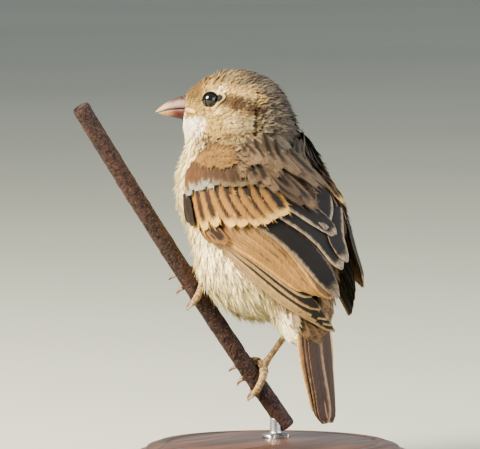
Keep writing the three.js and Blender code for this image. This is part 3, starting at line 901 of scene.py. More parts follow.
@dataclass(frozen=True)
class WingPlate:
    """One folded wing's outer surface: u runs from wrist to tip, v from the leading to the upper edge."""

    name: str
    side: int
    leading: tuple
    upper: tuple
    bulge: float = 7.5

    def polar(self, u: Array, v: Array) -> Array:
        """Gives rows of place along the trunk, turn in degrees and distance out."""
        low, high = bend(self.leading, u), bend(self.upper, u)
        at = low + (high - low) * v[..., None]
        inside = np.clip(v, 0, 1)
        at[..., 0] += self.bulge * 4 * inside * (1 - inside) * (1 - smooth(u, 0, 0.35))
        at[..., 2] += 1.2 * np.sin(math.pi * inside) * (1 - u)
        if self.side < 0:
            at[..., 2] -= 3.0 * smooth(v, 0.9, 1.3)
        return at

    def points(self, u: Array, v: Array) -> Array:
        """Gives points on the surface, close over the shoulder and free towards the tip."""
        at = self.polar(u, v)
        turn = np.radians(at[..., 1]) * self.side
        ray = DORSAL * np.cos(turn)[..., None] + LEFT * np.sin(turn)[..., None]
        base = AXIS * at[..., [0]]
        near, far = np.full(turn.shape, 2.0), np.full(turn.shape, 45.0)
        for _ in range(14):
            half = (near + far) / 2
            outside = FORM.distance(base + ray * half[..., None]) > 0
            far, near = np.where(outside, half, far), np.where(outside, near, half)
        hug = mix(2.4, 14.0, smooth(u, 0.05, 0.5))
        low = far + 1.0 * smooth(v, 0.92, 1.15)
        return base + ray * np.clip(at[..., 2], low, far + GAP + hug)[..., None]

    def frame(self, u: Array, v: Array) -> tuple[Array, Array]:
        """Gives points on the surface and its outward directions there."""
        step = 0.02
        p = self.points(u, v)
        du = self.points(np.minimum(u + step, 1), v) - self.points(np.minimum(u + step, 1) - 2 * step, v)
        dv = self.points(u, v + step) - self.points(u, v - step)
        n = unit(np.cross(du, dv))
        axis = p - AXIS * (p @ AXIS)[..., None]
        return p, n * np.sign(dot(n, axis))[..., None]

    def covers(self, p: Array) -> Array:
        """Tells which points of the body the wing hides, a little inside its outline."""
        u, v = np.meshgrid(np.linspace(0.03, 0.97, 120), np.linspace(0.09, 0.93, 60), indexing="ij")
        hidden = (v < 0.80) | (u > 0.15) & (self.side > 0)
        at = self.polar(u[hidden], v[hidden])
        s, turn, side = trunk_parts(p)

        def cell(along: Array, around: Array) -> Array:
            """Numbers the cell, 1.5 mm by 4 degrees, that places on the trunk fall in."""
            return np.round(along / 1.5).astype(int) * 1000 + np.round(around / 4.0).astype(int)

        return np.isin(cell(s, turn), np.unique(cell(at[:, 0], at[:, 1]))) & (np.sign(side) == self.side)


WINGS = (
    WingPlate("left", 1,
              ((10, 110, 25.4), (-4, 105, 25.8), (-18, 91, 24.6), (-32.3, 77, 17.6), (-42, 50, 13.6),
               (-50.5, -20, 10.6)),
              ((17, 50, 23.5), (5.6, 42, 25), (-9, 20, 25.6), (-21, 4, 25), (-31.5, 3, 24.4),
               (-44, -4, 17.5))),
    WingPlate("right", -1,
              ((10, 110, 25.4), (-4, 105, 26.2), (-18, 94, 26.4), (-32, 78, 23), (-41, 62, 20.5),
               (-47, 36, 18)),
              ((17, 50, 24), (5.6, 42, 26), (-9, 22, 27.2), (-21, 9, 27.4), (-32, 12, 26.6),
               (-42, 26, 21.5))),
)


class Web(Enum):
    """The kinds of vane in a wing, each with its shape."""

    FLIGHT = Vane(rows=14, columns=6, barbs=0, rise=0.12, taper=0.82, tip=0.2, slab=0.08)
    TERTIAL = Vane(rows=14, columns=8, barbs=0, rise=0.2, taper=0.55, tip=0.12, slab=0.08)
    COVERT = Vane(rows=10, columns=8, barbs=90, fray=0.045, barb=0.02, rise=0.25, taper=0.6, tip=0.3)
    LOOSE = Vane(rows=8, columns=6, barbs=80, fray=0.12, barb=0.025, rise=0.3, taper=0.42, tip=0.2)
    LESSER = Vane(rows=5, columns=4, barbs=40, fray=0.16, barb=0.04, rise=0.3, taper=0.4)


@dataclass(frozen=True)
class Tract:
    """A row of wing feathers, from the leading edge up, with lines for roots and tips in u and v."""

    name: str
    count: int
    roots: tuple
    tips: tuple
    half: tuple[float, float]
    lift: tuple[float, float]
    edge: tuple[str, str]
    centre: tuple[str, str]
    amount: tuple[float, float]
    start: float = 0.72
    tip: tuple[str, str, float] | None = None
    shift: float = 0.0
    widen: float = 0.0
    vary: float = 0.05
    sag: float = 0.0
    # shade: how far each feather darkens towards its root, partly its grey down and partly painted shade
    # under the overlapping feathers.
    shade: float = 0.35
    tip_rise: float = 0.0
    jitter: float = 0.004
    web: Web = Web.COVERT

    RIGHT_LOOSE_SUNK = 1.6

    def feathers(self, plate: WingPlate, rng: np.random.Generator, cell: int) -> Feathers:
        """Lays the row's feathers on a wing.

        Args:
            plate: The wing.
            rng: The source of small differences.
            cell: The number of the first cell that the feathers take in the unrolled atlas.

        Returns:
            The feathers.
        """
        share = np.linspace(0, 1, self.count) if self.count > 1 else np.zeros(1)

        def line(rows: Sequence[Sequence[float]]) -> Array:
            """Places the feathers evenly along a line through rows of u and v."""
            return np.stack([np.interp(share, np.linspace(0, 1, len(rows)), col) for col in zip(*rows)], -1)

        def ease(pair: tuple[float, float]) -> Array:
            """Runs a value evenly from the row's first feather to its last."""
            return np.interp(share, [0, 1], pair)

        a, b = line(self.roots), line(self.tips)
        a = a + rng.normal(0, self.jitter, a.shape)
        b = b + rng.normal(0, self.jitter * 1.2, b.shape)
        t = np.linspace(0, 1, 9)
        uv = a[:, None] + (b - a)[:, None] * t[None, :, None]
        uv[..., 1] += self.sag * np.sin(math.pi * t)[None]
        if plate.side < 0:
            uv[..., 1] += 0.2 * smooth(uv[..., 1], 0.5, 0.95)
            uv[..., 0] -= 0.05 * smooth(uv[..., 0], 0.75, 1.0)
        p, n = plate.frame(np.clip(uv[..., 0], 0, 1), uv[..., 1])
        length = np.linalg.norm(np.diff(p, axis=1), axis=-1).sum(1)
        tone = np.maximum(1 + rng.normal(0, self.vary, (self.count, 1)), 0.4)
        tint = np.array([mix(linear(self.edge[0]), linear(self.edge[1]), k) for k in share]) * tone
        mark = np.array([mix(linear(self.centre[0]), linear(self.centre[1]), k) for k in share]) * tone
        tips = None
        if self.tip:
            turned = smooth(share, self.tip[2] - 0.08, self.tip[2] + 0.08)
            tips = np.array([mix(linear(self.tip[0]), linear(self.tip[1]), k) for k in turned])
        index = cell + np.arange(self.count)
        atlas = np.stack([0.52 + 0.012 * (index % 36), 0.03 + 0.024 * (index // 36)], -1)
        lift = ease(self.lift)
        if plate.side < 0 and self.web is Web.LOOSE:
            lift = lift - self.RIGHT_LOOSE_SUNK
        return Feathers(
            line=p, out=n, length=length, half=ease(self.half) * (1 + rng.normal(0, 0.03, self.count)),
            lift=lift, depth=np.full(self.count, 0.5), tint=tint, mark=mark,
            start=np.full(self.count, self.start), amount=ease(self.amount), uv=atlas, patch=0.011,
            round_by=24.0,
            tip_tint=tips,
            outer=-float(plate.side), shift=self.shift, widen=self.widen, root_down_and_painted_shade=self.shade,
            tip_rise=self.tip_rise)


FLIGHT_TRACTS = (
    Tract("primaries", 9, ((0.12, 0.22), (0.10, 0.05)),
          ((0.55, 0.40), (0.64, 0.43), (0.79, 0.38), (0.91, 0.17), (0.99, 0.04)), (2.6, 2.1), (-2.1, -3.4),
          ("#997d55", "#90744b"), ("#1e140e", "#18110b"), (1.0, 1.0), 0.86, shift=0.22, widen=0.5, vary=0.12,
          web=Web.FLIGHT),
    Tract("secondaries", 11, ((0.17, 0.14), (0.34, 0.62)), ((0.70, 0.41), (0.80, 0.50), (0.86, 0.60)),
          (2.4, 2.6), (-2.0, -0.4), ("#986f38", "#8a6536"), ("#5a3f22", "#4c341c"), (1.0, 1.0), 0.9,
          shift=0.17, widen=0.4, vary=0.2, web=Web.FLIGHT),
    Tract("tertials", 3, ((0.22, 0.62), (0.20, 0.82), (0.18, 0.95)),
          ((0.885, 0.73), (0.79, 0.98), (0.60, 1.06)),
          (3.8, 3.6), (-0.1, 1.0), ("#83705c", "#897764"), ("#060403", "#080504"), (1.0, 1.0), 0.9, shift=0.1,
          web=Web.TERTIAL),
)
COVERT_TRACTS = (
    Tract("primary_coverts", 4, ((0.10, 0.05), (0.12, 0.16)), ((0.25, 0.05), (0.31, 0.20)),
          (2.0, 2.2), (-0.9, -0.5), ("#644622", "#704e29"), ("#1e130c", "#1c110a"), (1.0, 1.0), 0.8,
          shift=0.1),
    Tract("alula", 3, ((-0.01, 0.04), (0.02, 0.12)), ((0.085, -0.07), (0.125, 0.0)),
          (1.7, 1.8), (0.3, 1.0), ("#21150c", "#2b1b0f"), ("#0f0805", "#130b06"), (1.0, 1.0), 0.85,
          shift=0.1),
    Tract("greater_coverts", 9, ((-0.01, 0.17), (0.08, 0.42), (0.145, 0.62), (0.185, 0.78), (0.22, 0.99)),
          ((0.15, -0.02), (0.235, 0.215), (0.29, 0.42), (0.35, 0.55), (0.372, 0.665), (0.385, 0.80)),
          (2.4, 3.0), (-0.2, 1.3), ("#7e5623", "#704f22"), ("#271608", "#060402"), (1.0, 1.0), 0.5,
          tip=("#b18e4a", "#a68346", 0.5), shift=0.18),
    Tract("median_coverts", 12, ((-0.05, 0.34), (0.04, 0.72), (0.09, 1.04)),
          ((0.05, 0.15), (0.15, 0.50), (0.245, 0.93)), (1.8, 2.3), (0.6, 1.5), ("#4c321a", "#271c11"),
          ("#43290f", "#140c06"), (0.9, 0.95), 0.62, tip=("#737268", "#4e412d", 0.5), vary=0.1),
    Tract("scapulars_low", 12, ((0.02, 0.98), (0.10, 1.08), (0.20, 1.22)),
          ((0.12, 0.83), (0.26, 0.92), (0.44, 1.08)),
          (1.5, 2.0), (1.5, 1.9), ("#55432d", "#433528"), ("#120b06", "#0d0805"), (0.9, 1.0), 0.5, shade=0.6,
          tip_rise=0.5, jitter=0.022, vary=0.25, web=Web.LOOSE),
    Tract("scapulars_high", 16, ((-0.08, 1.00), (0.01, 1.22), (0.14, 1.52)),
          ((0.05, 0.95), (0.17, 1.10), (0.36, 1.36)), (1.5, 2.1), (1.8, 2.3), ("#645039", "#45382a"),
          ("#120a05", "#0d0805"), (0.85, 1.0), 0.45, shade=0.6, tip_rise=0.6, jitter=0.028, vary=0.28,
          web=Web.LOOSE),
)


class Wing:
    """One folded wing of separate feathers."""

    def __init__(self, plate: WingPlate, rng: np.random.Generator, flight: bpy.types.Material,
                 covert: bpy.types.Material) -> None:
        """Holds the wing's surface and finishes."""
        self.plate, self.rng, self.flight, self.covert = plate, rng, flight, covert

    def build(self) -> list[bpy.types.Object]:
        """Builds the long feathers and the coverts.

        Returns:
            The wing's pieces.
        """
        name = self.plate.name
        cell = 0 if self.plate.side > 0 else 400
        layers: list[list[MeshParts]] = []
        for tracts in (FLIGHT_TRACTS, COVERT_TRACTS):
            layers.append([])
            for tract in tracts:
                layers[-1].append(tract.feathers(self.plate, self.rng, cell).mesh(tract.web.value, self.rng))
                cell += tract.count
        long_ones, coverts = layers
        coverts.append(self._lesser().mesh(Web.LESSER.value, self.rng))
        return [
            make_object(f"wing_{name}_flight", joined(long_ones), self.flight, "flight_feathers",
                        [f"wing_{name}"]),
            make_object(f"wing_{name}_coverts", joined(coverts), self.covert, "flight_feathers"),
        ]

    def _lesser(self) -> Feathers:
        """Scatters the small rusty coverts over the shoulder."""
        rng = self.rng
        u, v = np.meshgrid(np.linspace(-0.03, 0.055, 7), np.linspace(0.52, 1.05, 16), indexing="ij")
        v = v + 0.02 * (np.arange(7) % 2)[:, None]
        u, v = u.ravel() + rng.normal(0, 0.004, u.size), v.ravel() + rng.normal(0, 0.008, u.size)
        arch = np.interp(v - 0.09, (0.45, 0.55, 0.69, 0.82, 0.95), (0.035, 0.075, 0.115, 0.11, 0.075))
        inside = u + 0.055 < arch
        u, v = u[inside], v[inside]
        t = np.linspace(0, 1, 6)
        reach = 0.055 + 0.01 * rng.random(u.size)
        uu, vv = u[:, None] + reach[:, None] * t, v[:, None] - 0.09 * t[None]
        p, n = self.plate.frame(np.clip(uu, -0.02, 1), vv)
        length = np.linalg.norm(np.diff(p, axis=1), axis=-1).sum(1)
        count = len(u)
        tone = 1 + rng.normal(0, 0.08, (count, 1))
        atlas = np.stack([0.52 + 0.45 * v, 0.9 + 0.6 * u + 0.03 * self.plate.side], -1)
        return Feathers(line=p, out=n, length=length, half=np.full(count, 1.35),
                        lift=0.9 + 3.5 * u + 0.3 * rng.random(count),
                        depth=np.full(count, 1.2), tint=np.tile(linear("#6d4f27"), (count, 1)) * tone,
                        mark=np.tile(linear("#40270e"), (count, 1)), start=np.full(count, 0.5),
                        amount=rng.uniform(0.2, 0.9, count), uv=atlas, tip_rise=0.35)


# ---------------------------------------------------------------- the coat


@dataclass(frozen=True)
class Region:
    """One part of the coat: the size, spacing and finish of its feathers, in millimetres."""

    name: str
    spacing: float
    length: float
    half: float
    vane: Vane
    streak: Streak
    lift: float = 0.0
    tip_rise: float = 0.0
    sway: float = 0.12
    tone: float = 0.16
    raised: bool = False


SOFT = Vane(rows=4, columns=2, barbs=12, fray=0.22, rise=0.4, taper=0.45)
HAIRY = Vane(rows=4, columns=2, barbs=12, fray=0.34, rise=0.5, taper=0.4)
BROAD = Vane(rows=6, columns=4, barbs=56, fray=0.13, barb=0.035, rise=0.35, taper=0.42)
TINY = Vane(rows=3, columns=2, barbs=8, fray=0.4, rise=0.4, taper=0.35)
REGIONS = (
    Region("face", 0.55, 2.1, 0.42, TINY, Streak("#33230f", 0.7, 0.5, 0.5), -0.15, 0.15, 0.2),
    Region("crown", 0.85, 3.6, 0.66, SOFT, Streak("#150d06", 0.95, 0.5, 0.62), -0.8, 0.55, 0.2),
    Region("cheek", 0.8, 3.4, 0.55, SOFT, Streak("#382713", 0.65, 0.5, 0.5), -0.5, 0.25, 0.16),
    Region("nape", 0.95, 4.6, 0.85, SOFT, Streak("#140e09", 0.85, 0.5, 0.45), -2.1, 1.1, 0.26),
    Region("throat", 0.95, 3.8, 0.75, HAIRY, Streak("#b49a72", 0.3, 0.4, 0.4), -0.8, 0.5),
    Region("neck", 1.2, 5.2, 1.1, HAIRY, Streak("#4a3820", 0.5, 0.4, 0.4), -1.2, 0.7, 0.2),
    Region("mantle", 1.6, 9.0, 1.7, BROAD, Streak("#0d0704", 1.0, 0.52, 0.72), 0.0, 0.9, 0.2, 0.4,
           raised=True),
    Region("rump", 1.7, 8.0, 1.7, BROAD, Streak("#2a1c10", 0.9, 0.5, 0.6), 0.0, 0.5, raised=True),
    Region("breast", 1.15, 6.0, 1.15, HAIRY, Streak("#b39a6a", 0.3, 0.4, 0.4), -1.8, 0.7),
    Region("belly", 1.25, 7.5, 1.3, HAIRY, Streak("#8f7c52", 0.3, 0.4, 0.3), -1.8, 1.0, 0.22),
    Region("undertail", 1.9, 9.0, 2.0, BROAD, Streak("#a58c60", 0.3, 0.4, 0.3), -0.3, 0.4),
    Region("thighs", 0.95, 4.5, 0.85, HAIRY, Streak("#8c7850", 0.3, 0.4, 0.4), -0.5, 0.6, 0.2),
)


class Coat:
    """The skin, and the body's feathers rooted in it."""

    ROWS, TURNS = 190, 220

    def __init__(self, rng: np.random.Generator, finish: bpy.types.Material) -> None:
        """Casts the outline of the plumage once, as the ground that feathers are sown on."""
        self.rng, self.finish = rng, finish
        self.unwrap = Unwrap()
        rise, turn = np.meshgrid(np.linspace(0, 1, self.ROWS), np.linspace(0, 1, self.TURNS + 1),
                                 indexing="ij")
        self.sheet = np.stack([turn * 0.48 + 0.01, rise * 0.98 + 0.01], -1).reshape(-1, 2)
        self.turn, self.rise = turn, rise
        self.ground = self.unwrap.cast(turn, rise, 0.0).reshape(-1, 3)
        self.cells = grid_faces(self.ROWS, self.TURNS + 1)

    def skin(self) -> bpy.types.Object:
        """Builds the one skin, inside the outline by the coat's depth."""
        points = self.unwrap.cast(self.turn, self.rise, 1.0).reshape(-1, 3)
        tint = np.concatenate([MARKINGS.tint(points), np.ones((len(points), 1))], -1)
        quads = self.cells[:, ::-1] if self._inward(points) else self.cells
        parts = MeshParts(points, quads, self.sheet, {"tint": tint})
        flesh = ["head", "neck", "trunk", "thigh_left", "thigh_right"]
        return make_object("skin", parts, BareSkin().make(), "plumage", flesh)

    def _inward(self, points: Array) -> bool:
        """Tells whether the grid's faces look into the body."""
        a, b, c = (points[self.cells[:, k]] for k in range(3))
        return bool(np.median(dot(np.cross(b - a, c - a), a - self.unwrap.low)) < 0)

    def _sow(self, count: int) -> tuple[Array, Array]:
        """Scatters places evenly over the outline.

        Args:
            count: How many.

        Returns:
            The points and their places in the unrolled skin.
        """
        tri = np.vstack([self.cells[:, [0, 1, 2]], self.cells[:, [0, 2, 3]]])
        a, b, c = (self.ground[tri[:, k]] for k in range(3))
        area = np.linalg.norm(np.cross(b - a, c - a), axis=-1)
        pick = self.rng.choice(len(tri), count, p=area / area.sum())
        r = np.sqrt(self.rng.random(count))
        w = np.stack([1 - r, r * (1 - self.rng.random(count)), np.zeros(count)], -1)
        w[:, 2] = 1 - w[:, 0] - w[:, 1]
        chosen = tri[pick]
        return (self.ground[chosen] * w[..., None]).sum(1), (self.sheet[chosen] * w[..., None]).sum(1)

    @staticmethod
    def region_of(p: Array) -> Array:
        """Names the region of each point by its number in REGIONS."""
        names = [r.name for r in REGIONS]
        f, l, u = head_parts(p)
        s, turn, _ = trunk_parts(p)
        high = p @ UP - 0.25 * f
        found = np.full(len(p), names.index("belly"))
        tests = [
            ("breast", (s > -4) & (turn > 80)), ("mantle", (s > -14) & (turn <= 80)),
            ("rump", (s <= -14) & (turn <= 72)),
            ("undertail", (s < -34) & (turn > 60)), ("neck", (high > 23) & (turn > 40)),
            ("neck", (high > 15) & (turn > 78)), ("nape", (u > -11) & (f < -6)),
            ("throat", (high > 18) & (f > 1)), ("cheek", (high > 26) & (f > -8)),
            ("crown", (high > 26) & (u - 0.12 * np.abs(l) > 3.6)),
            ("throat", (u < -6.5) & (f + 0.25 * u > 4.6) & (high > 18)),
            ("face", np.linalg.norm(p - BILL_ROOT, axis=-1) < 9.5),
        ]
        for name, test in tests:
            found[test] = names.index(name)
        for leg in LEGS:
            lobe = thigh_lobe(leg.hip, leg.cuff, leg.fat)
            q = (p - lobe.centre) @ lobe.axes.T / np.array(lobe.radii)
            found[np.linalg.norm(q, axis=-1) < 1.12] = names.index("thighs")
        return found

    @staticmethod
    def _bare(p: Array) -> Array:
        """Tells which points grow no feathers: eyes, bill, perch, feet and under the wings."""
        f, l, u = head_parts(p)
        bare = (off_eye(f, u) < 3.1) & (np.abs(l) > 5)
        q = p - BILL_ROOT
        along, side, over = q @ BILL_TIPWARD, q @ HEAD_LEFT, q @ BILL_OVER
        bare |= (along > -0.6) & (np.hypot(side / 4.1, over / 4.3) < 0.95)
        bare |= Perch.distance(p) < 2.6
        for wing in WINGS:
            bare |= wing.covers(p)
        return bare

    def _trace(self, root: Array, region: Region, length: Array) -> tuple[Array, Array]:
        """Runs each feather's middle line over the outline along the lie of the coat.

        Args:
            root: The roots.
            region: Where they are.
            length: The feathers' lengths.

        Returns:
            The middle lines and the outward directions along them.
        """
        steps = 5
        p, n = FORM.settle(root)
        line, out = [p], [n]
        yaw = self.rng.normal(0, region.sway, (len(root), 1))
        for _ in range(steps - 1):
            ahead = level(lie(p), n)
            ahead = unit(ahead + np.cross(n, ahead) * yaw)
            p, n = FORM.settle(p + ahead * (length / (steps - 1))[:, None])
            line.append(p)
            out.append(n)
        return np.stack(line, 1), np.stack(out, 1)

    def feathers(self, region: Region, places: Array, sheet: Array) -> bpy.types.Object:
        """Builds the feathers of one region.

        Args:
            region: The region.
            places: Its scattered places.
            sheet: Their places in the unrolled skin.

        Returns:
            The region's one piece.
        """
        rng = self.rng
        cell = np.floor((places + 100) / (region.spacing * 0.9)).astype(np.int64)
        _, first = np.unique(cell @ np.array([1, 4001, 4001 * 4001]), return_index=True)
        root, sheet = places[first], sheet[first]
        length = region.length * (0.8 + 0.4 * rng.random(len(root)))
        line, out = self._trace(root, region, length)
        f, _, u = head_parts(line.reshape(-1, 3))
        near = (off_eye(f, u) < 2.75).reshape(line.shape[:2])
        side = np.abs(((line - HEAD_CENTRE) @ HEAD_LEFT)) > 5
        keep = ~(near & side).any(1)
        root, sheet, length, line, out = root[keep], sheet[keep], length[keep], line[keep], out[keep]
        count = len(root)
        marked = rng.random(count) < region.streak.share
        made = Feathers(
            line=line, out=out, length=length, half=region.half * (0.8 + 0.4 * rng.random(count)),
            lift=region.lift + 0.25 * rng.standard_normal(count) * region.half * 0.3,
            depth=coat_depth(root) * 0.9,
            tint=np.ones((count, 3)) * np.maximum(1 + region.tone * rng.standard_normal((count, 1)), 0.3),
            mark=np.tile(linear(region.streak.colour), (count, 1)), start=np.full(count, region.streak.start),
            amount=region.streak.amount * marked * (0.6 + 0.4 * rng.random(count)), uv=sheet,
            tip_rise=region.tip_rise * (0.4 + 1.2 * rng.random(count) ** 2), tint_at=MARKINGS.tint)
        if region.raised:
            s, turn, side = trunk_parts(root)
            far_side = (side < 0) * smooth(turn, 10, 32) * smooth(s, -30, -18)
            made.lift = made.lift + 0.8 + 2.0 * (1 - smooth(s, -6, 10)) * smooth(s, -34, -24)
            made.lift = made.lift + 1.2 * smooth(turn, 12, 40) + 2.2 * far_side
        LOG.info("%s: %d feathers", region.name, count)
        return make_object(f"coat_{region.name}", made.mesh(region.vane, rng), self.finish, "plumage")

    def build(self) -> list[bpy.types.Object]:
        """Builds the skin and every region of the coat."""
        made = [self.skin()]
        places, sheet = self._sow(400000)
        open_ground = ~self._bare(places)
        places, sheet = places[open_ground], sheet[open_ground]
        region = self.region_of(places)
        for number, part in enumerate(REGIONS):
            own = region == number
            made.append(self.feathers(part, places[own], sheet[own]))
        return made


# ---------------------------------------------------------------- tail


class Tail:
    """Twelve closed tail feathers, the middle pair on top."""

    ROOT = in_trunk(-36, 6.4)
    LENGTH, WIDTH, PITCH, LEAN = 40.5, 18.5, math.radians(84), 2.4

    def __init__(self, rng: np.random.Generator, finish: bpy.types.Material) -> None:
        """Holds the finish and the source of small differences."""
        self.rng, self.finish = rng, finish

    def build(self) -> bpy.types.Object:
        """Builds the tail feathers as one piece."""
        along = place(-math.cos(self.PITCH), 0, -math.sin(self.PITCH))
        over = place(-math.sin(self.PITCH), 0, math.cos(self.PITCH))
        order = np.array([-0.05, 0.05, -1.0, 0.9, -0.74, 0.74, -0.62, 0.62, -0.5, 0.5, -0.37, 0.37])
        count = len(order)
        t = np.linspace(0, 1, 9)[None]
        across = order[:, None]
        half = self.WIDTH / 2 * mix(0.76, 0.84, smooth(t, 0, 0.4)) * (1 - 0.5 * smooth(t, 0.4, 1.05))
        length = self.LENGTH - 1.2 * (1 - np.abs(order)) - 16 * np.maximum(0, np.abs(order) - 0.4) ** 2
        stack = 0.10 + 0.13 * np.arange(count)
        sideways = across * half - self.LEAN * mix(0.35, 1.0, t)
        p = (self.ROOT + along * (t * length[:, None])[..., None] + LEFT * sideways[..., None]
             + over * (stack[:, None] - 1.3 * across**2 + 0.25 * (1 - t))[..., None])
        out = np.broadcast_to(unit(over + LEFT * 0.25 * across[..., None]), p.shape)
        outermost = np.abs(order) > 0.8
        tint = np.where(outermost[:, None], linear("#f4cf92"), linear("#80644a"))
        # Painted shade: the lowest pair, under the middle of the tail, is darkened so the cleft between the
        # pairs above looks shaded.
        tint[:2] *= 0.3
        mark = np.where(outermost[:, None], linear("#b48852"), linear("#33231a"))
        mark[(order > -0.8) & (order < -0.45)] = linear("#7a5736")
        atlas = np.stack([0.52 + 0.03 * np.arange(count), np.full(count, 0.8)], -1)
        made = Feathers(line=p, out=out, length=length, half=2.5 + 0.9 * (np.abs(order) < 0.6),
                        lift=np.zeros(count),
                        depth=np.full(count, 0.2), tint=tint, mark=mark,
                        start=np.where(order > 0.3, 0.83, 0.9),
                        amount=np.ones(count), uv=atlas, patch=0.025, round_by=30.0,
                        outer=np.sign(order), shift=0.18, root_down_and_painted_shade=0.2)
        vane = Vane(rows=16, columns=6, barbs=0, rise=0.15, taper=0.86, tip=0.3, slab=0.12)
        return make_object("tail_feathers", made.mesh(vane, self.rng), self.finish, "tail_feathers", ["tail"])


# ---------------------------------------------------------------- tubes and lumps


def lumps(p: Array, size: float, seed: int) -> Array:
    """Gives smooth random bumps from 0 to 1, about a size apart.

    Args:
        p: Points in rows.
        size: The distance between bumps.
        seed: Which pattern.

    Returns:
        A height for each point.
    """
    table = np.random.default_rng(seed).random(4096)
    q = p / size
    base = np.floor(q).astype(np.int64)
    w = q - base
    w = w * w * (3 - 2 * w)
    total = np.zeros(len(p))
    for corner in np.ndindex(2, 2, 2):
        k = base + np.array(corner)
        value = table[(k[:, 0] * 73 + k[:, 1] * 179 + k[:, 2] * 283) % 4096]
        share = np.prod(np.where(np.array(corner), w, 1 - w), axis=1)
        total += value * share
    return total


def tube(path: Callable[[Array], Array], radius: Callable[[Array, Array], Array], along: int, around: int,
         side: Array, span: tuple[float, float] = (0.0, 1.0)) -> tuple[MeshParts, Array, Array]:
    """Makes a closed tube round a path.

    Args:
        path: Gives points for places from 0 to 1.
        radius: Gives the radius from the place and the turn, which starts from the side.
        along: Cells along it.
        around: Cells around it.
        side: A direction across the path.
        span: The part of the path to use.

    Returns:
        The tube, and the place and turn of each of its points.
    """
    t = np.linspace(*span, along + 1)
    middle = path(t)
    ahead = unit(path(t + 0.01) - path(t - 0.01))
    a = unit(np.cross(ahead, np.broadcast_to(side, ahead.shape)))
    b = np.cross(a, ahead)
    turn = np.linspace(0, math.tau, around, endpoint=False)
    tt, ww = np.meshgrid(t, turn, indexing="ij")
    ring = b[:, None] * np.cos(ww)[..., None] + a[:, None] * np.sin(ww)[..., None]
    points = (middle[:, None] + ring * radius(tt, ww)[..., None]).reshape(-1, 3)
    faces = grid_faces(along + 1, around, True)
    faces = np.vstack([faces[:, [0, 2, 1]], faces[:, [0, 3, 2]]])
    count = len(points)
    first, last = np.arange(around), np.arange(around) + along * around
    caps = np.vstack([np.stack([np.full(around, count), np.roll(first, -1), first], -1),
                      np.stack([np.full(around, count + 1), last, np.roll(last, -1)], -1)])
    points = np.vstack([points, middle[[0]], middle[[-1]]])
    tt = np.concatenate([tt.ravel(), [span[0], span[1]]])
    ww = np.concatenate([ww.ravel(), [0, 0]])
    return MeshParts(points, np.vstack([faces, caps])), tt, ww


def coloured(parts: MeshParts, tint: Array) -> MeshParts:
    """Lets a mesh carry its colours."""
    parts.carries = {"tint": np.concatenate([np.clip(tint, 0, 1), np.ones((len(tint), 1))], -1)}
    return parts


# ---------------------------------------------------------------- perch and feet


class Perch:
    """A cut length of iron rod, rusted and pitted, slightly bowed."""

    RADIUS, BEYOND_LEFT, BEYOND_RIGHT, BOW = 3.0, 75.0, 22.0, 1.1
    DIRECTION = unit(PERCH_FOOT_LEFT - PERCH_FOOT_RIGHT)
    BACK = unit(np.cross(UP, DIRECTION))
    OVER = unit(np.cross(DIRECTION, BACK))

    @classmethod
    def at(cls, along: Array | float) -> Array:
        """Gives points on the rod's axis, from the right foot at 0."""
        along = np.asarray(along, float)
        share = (along + cls.BEYOND_RIGHT) / (FEET_APART + cls.BEYOND_LEFT + cls.BEYOND_RIGHT)
        bow = cls.BOW * (1 - (2 * share - 1) ** 2)
        return PERCH_FOOT_RIGHT + cls.DIRECTION * along[..., None] - cls.OVER * bow[..., None]

    @classmethod
    def around(cls, along: Array, turn: Array, out: Array) -> Array:
        """Gives points round the rod, turned from its top towards the bird's back."""
        out = np.asarray(out, float)
        return (cls.at(along) + cls.OVER * (out * np.cos(turn))[..., None]
                + cls.BACK * (out * np.sin(turn))[..., None])

    @classmethod
    def distance(cls, p: Array) -> Array:
        """Measures how far points stand off the rod's surface."""
        q = p - PERCH_FOOT_RIGHT
        along = np.clip(q @ cls.DIRECTION, -cls.BEYOND_RIGHT, FEET_APART + cls.BEYOND_LEFT)
        return np.linalg.norm(p - cls.at(along), axis=-1) - cls.RADIUS

    def build(self) -> bpy.types.Object:
        """Builds the rod with its pits and flakes."""
        length = FEET_APART + self.BEYOND_LEFT + self.BEYOND_RIGHT

        def path(t: Array) -> Array:
            """Runs along the rod's middle from its lower end."""
            return self.at(t * length - self.BEYOND_RIGHT)

        def radius(t: Array, w: Array) -> Array:
            """Keeps the rod round and of one thickness."""
            return np.full(t.shape, self.RADIUS)

        body, t, _ = tube(path, radius, 420, 56, UP)
        middle = path(t)
        out = unit(body.points - middle + 1e-6)
        pits = smooth(lumps(body.points, 0.9, 3), 0.62, 0.85) * 0.22
        flakes = smooth(lumps(body.points, 2.6, 5), 0.55, 0.7) * 0.12
        rough = (lumps(body.points, 0.4, 7) - 0.5) * 0.08
        ends = 1 - smooth(np.minimum(t, 1 - t) * length, 0.0, 0.5)
        body.points = body.points + out * (rough + flakes - pits - 0.06 - 0.4 * ends)[:, None]
        return make_object("perch_rod", body, RustyIron().make(), "rusty_iron", ["perch"])


@dataclass(frozen=True)
class RustyIron:
    """A hot-rolled mild steel rod left out in the rain: dull brown rust in patches, grainy and pitted."""

    name: str = "rusted_mild_steel"

    def make(self) -> bpy.types.Material:
        """Builds the material: rust grains of 0.3 mm over patches of 4 mm."""
        m = Tree(self.name, Metallic=0.12, Specular_IOR_Level=0.35)
        at = m.place_mm()
        patches, grains, specks = m.noise(at, 3.0, 4.0), m.noise(at, 0.35, 3.0, 0.7), m.noise(at, 0.9, 2.0)
        colour = m.blend(m.ramp(patches, 0.38, 0.62), linear("#170b0a"), linear("#2d1915"))
        colour = m.blend(m.ramp(grains, 0.45, 0.72), colour, linear("#4d2f20"))
        colour = m.blend(m.ramp(specks, 0.56, 0.68), colour, linear("#110806"))
        height = m.sums("ADD", m.sums("MULTIPLY", grains, 0.6), m.sums("MULTIPLY", specks, 0.8))
        return m.feed(Base_Color=colour, Roughness=m.ramp(grains, 0.3, 0.7, 0.95, 0.62),
                      Normal=m.bump(height, 0.35))


